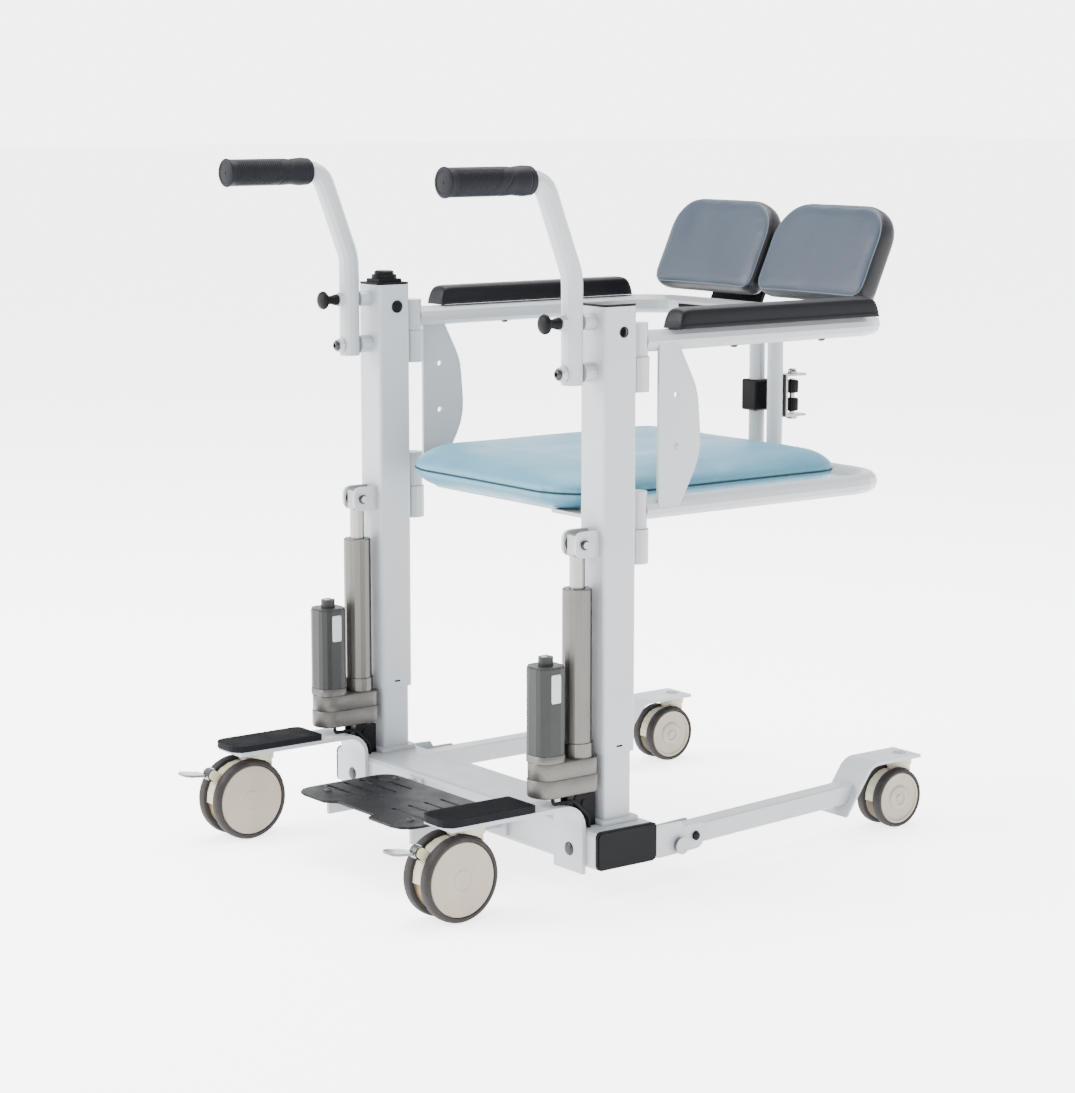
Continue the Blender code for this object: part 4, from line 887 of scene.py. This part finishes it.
def tread_ribs(side, end):
    """Fine diagonal ribs on the tread's top, each cut off just inside the pad's edge."""
    low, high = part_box(f"tread_pad_{end}")
    pad = surface(NODES[f"tread_pad_{end}"].data)
    slant, pitch = math.radians(52), 0.0030
    along = Vector((math.cos(slant), side * math.sin(slant), 0))
    across = Vector((-along.y, along.x, 0))
    centre = (low + high) / 2
    top = high.z
    bm = bmesh.new()
    for number in range(-28, 29):
        inside = []
        for step in range(-90, 91):
            point = centre + across * (number * pitch) + along * (step * 0.001)
            hit = pad.ray_cast(Vector((point.x, point.y, top + 0.01)), Vector((0, 0, -1)))[0]
            if hit and hit.z > top - 0.0003:
                inside.append(point)
        if len(inside) < 9:
            continue
        start, stop = inside[0] + along * 0.0025, inside[-1] - along * 0.0025
        rings = []
        for half, height in ((0.0008, top - 0.0002), (0.0005, top + 0.0005)):
            corners = (start - across * half, stop - across * half, stop + across * half, start + across * half)
            rings.append([bm.verts.new((corner.x, corner.y, height)) for corner in corners])
        bm.faces.new(rings[0][::-1])
        bm.faces.new(rings[1])
        walled(bm, rings)
    piece(f"tread_ribs_{end}", bm, "base", "grip_rubber", TREAD, None, 20.0)


def column_details(side, end):
    """Plug or ring in the column's side hole, and the small slot near its foot."""
    body = f"carriage_{end}"
    face = side * COLUMN_X + 0.023
    black = ("black_plastic", BLACK)
    if side < 0:
        dome("side_plug_L", (face, 0.0037, 0.6495), (1, 0, 0), 0.0080, 0.0038, body, *black)
    else:
        ring("side_ring_R", (face - 0.0002, 0.0037, 0.648), (1, 0, 0), 0.0064, 0.0051, 0.0007, body, *black)
    points = rectangle(0, 0, 0.004, 0.0009, 0.0007, 0.0006)
    axes = Matrix(((0, 0, 1, 0), (1, 0, 0, 0), (0, 1, 0, 0), (0, 0, 0, 1)))
    home = Matrix.Translation((face, 0, 0.1718)) @ axes
    rings = stacked(points, ((0, -0.0006), (0, 0.0001), (0.0003, 0.00012)))
    piece(f"column_slot_{end}", loft(rings), body, *black, home)


def label(side, end):
    """A blank rating plate on the motor's right face."""
    axes = Matrix(((0, 0, 1, 0), (0, 1, 0, 0), (1, 0, 0, 0), (0, 0, 0, 1)))
    home = Matrix.Translation((side * COLUMN_X + 0.0190, -0.0887, 0.2490)) @ axes
    points = rectangle(0, -0.0001, 0.0165, 0.0067, 0.001, 0.003)
    rings = stacked(points, ((0, -0.0002), (0, 0.00016), (0.0003, 0.00022)))
    piece(f"motor_label_{end}", loft(rings), "base", "black_plastic", LABEL, home)


def fasteners(side, end):
    """Bolts, washers, screws and plugs of the legs, footplate, actuator eye, casters and handle pivot."""
    base, carriage = "base", f"carriage_{end}"
    black, zinc = ("black_plastic", BLACK), ("zinc_steel", STEEL)
    x = side * COLUMN_X
    front, right, up = (0, -1, 0), (1, 0, 0), (0, 0, 1)
    dome(f"leg_bolt_{end}", (x, -0.0553, 0.054), front, 0.0080, 0.0028, base, "zinc_steel", DARK_STEEL)
    for y in (-0.181, -0.081):
        name = f"foot_screw_{end}_{round(-y * 1000)}"
        screw(name, (side * 0.088, y, 0.0790), up, 0.0048, base, DARK_STEEL, 0.4)
    screw(f"tread_cap_{end}", (x, MOTOR_Y, 0.2838), up, 0.0050, base, STEEL, 0.4)
    dome(f"rear_plug_{end}", (side * 0.2595, 0.109, 0.0492), (side, 0, 0), 0.0052, 0.0012, base, *black)
    swivel = (side * LEG_X, 0.474, 0.0908)
    ring(f"swivel_ring_{end}", swivel, up, 0.0086, 0.0050, 0.0008, base, *zinc)
    dome(f"swivel_cap_{end}", swivel, up, 0.0050, 0.0010, base, *zinc)
    eye_y, eye_z = TUBE_Y, 0.409
    dome(f"clevis_cap_{end}", (x - 0.0134, eye_y, eye_z), (-1, 0, 0), 0.0102, 0.0048, carriage, *black)
    ring(f"clevis_ring_{end}", (x - 0.0094, eye_y, eye_z), right, 0.0100, 0.0046, 0.0026, carriage, *black)
    ring(f"clevis_washer_{end}", (x + 0.0134, eye_y, eye_z), right, 0.0072, 0.0040, 0.0010, carriage, *zinc)
    screw(f"clevis_bolt_{end}", (x + 0.0142, eye_y, eye_z), right, 0.0058, carriage, DARK_STEEL, 0.7)
    near = 0.013
    nodes = [NODES[f"outer_column_{end}"], NODES[f"handle_tube_{end}"]]
    face = min(v.co.y for node in nodes for v in node.data.vertices
               if abs(v.co.z - PIVOT_HEIGHT) < near and abs(v.co.x - x) < near)
    ring(f"pivot_washer_{end}", (x, face, PIVOT_HEIGHT), front, 0.0076, 0.0040, 0.0008, carriage, *zinc)
    screw(f"pivot_bolt_{end}", (x, face - 0.0006, PIVOT_HEIGHT), front, 0.0062, carriage, DARK_STEEL, 0.6)
    for height in (PIVOT_HEIGHT, PIN_HEIGHT):
        name = f"boss_ring_{end}_{round(height * 1000)}"
        ring(name, (x, -0.0395, height), (0, 1, 0), 0.0088, 0.0040, 0.0012, carriage, *black)


# ---------------------------------------------------------------- stage

FLOOR_GLOW = 2.8
SKY_FADE = (("From Min", 0.08), ("From Max", 0.22), ("To Min", 5.4), ("To Max", 1.9))
LIGHTS = (("key", (-2.0, -3.0, 2.3), 2.2, 300.0), ("top", (-0.4, 0.6, 3.2), 2.8, 230.0))
AIM = Vector((0, 0.1, 0.35))
CAMERA_PLACE = (2.6891, -1.9699, 0.9153)
CAMERA_PITCH, CAMERA_HEADING = 9.259, 52.811
CAMERA_LENS = 93.48


def studio():
    """A pale glowing floor, a world that is brightest at its horizon, two soft lights, and the camera."""
    scene = bpy.context.scene
    bm = bmesh.new()
    bmesh.ops.create_grid(bm, x_segments=2, y_segments=2, size=40.0)
    mesh = bpy.data.meshes.new("floor")
    bm.to_mesh(mesh)
    bm.free()
    floor = bpy.data.objects.new("floor", mesh)
    scene.collection.objects.link(floor)
    pale = Paint("studio_floor", 0.6)
    pale.colour(pale.mix(pale.ramp(pale.noise(1.5), 0.3, 0.7), (0.955, 0.96, 0.965), (0.965, 0.97, 0.975)))
    pale.shader.inputs["Emission Color"].default_value = (1.0, 1.0, 1.0, 1.0)
    pale.shader.inputs["Emission Strength"].default_value = FLOOR_GLOW
    mesh.materials.append(pale.material)
    world = scene.world or bpy.data.worlds.new("studio")
    scene.world = world
    world.use_nodes = True
    back = world.node_tree.nodes["Background"]
    nodes, links = world.node_tree.nodes, world.node_tree.links
    split = nodes.new("ShaderNodeSeparateXYZ")
    links.new(nodes.new("ShaderNodeTexCoord").outputs["Generated"], split.inputs["Vector"])
    fade = nodes.new("ShaderNodeMapRange")
    links.new(split.outputs["Z"], fade.inputs["Value"])
    for key, number in SKY_FADE:
        fade.inputs[key].default_value = number
    links.new(fade.outputs["Result"], back.inputs["Strength"])
    back.inputs["Color"].default_value = (0.97, 0.985, 1.0, 1.0)
    for name, place, size, power in LIGHTS:
        data = bpy.data.lights.new(name, "AREA")
        data.shape = "SQUARE"
        data.size = size
        data.energy = power
        lamp = bpy.data.objects.new(name, data)
        scene.collection.objects.link(lamp)
        lamp.location = place
        lamp.rotation_euler = (AIM - Vector(place)).to_track_quat("-Z", "Y").to_euler()
    data = bpy.data.cameras.new("camera")
    data.sensor_fit = "HORIZONTAL"
    data.sensor_width = 36.0
    data.lens = CAMERA_LENS
    camera = bpy.data.objects.new("camera", data)
    scene.collection.objects.link(camera)
    camera.location = CAMERA_PLACE
    camera.rotation_euler = (math.radians(90 - CAMERA_PITCH), 0, math.radians(CAMERA_HEADING))
    scene.camera = camera


def build():
    studio()
    repaint()
    seat_cushion()
    latch_knobs()
    for side, end in SIDES:
        back_pad(side, end)
        arm_pad(side, end)
        grip(side, end)
        wheel_pair("front", side, end, **FRONT_WHEEL)
        wheel_pair("rear", side, end, **REAR_WHEEL)
        gearbox(side, end)
        tread_ribs(side, end)
        lock_knob(side, end)
        brake_shoe(side, end)
        column_details(side, end)
        label(side, end)
        fasteners(side, end)


build()
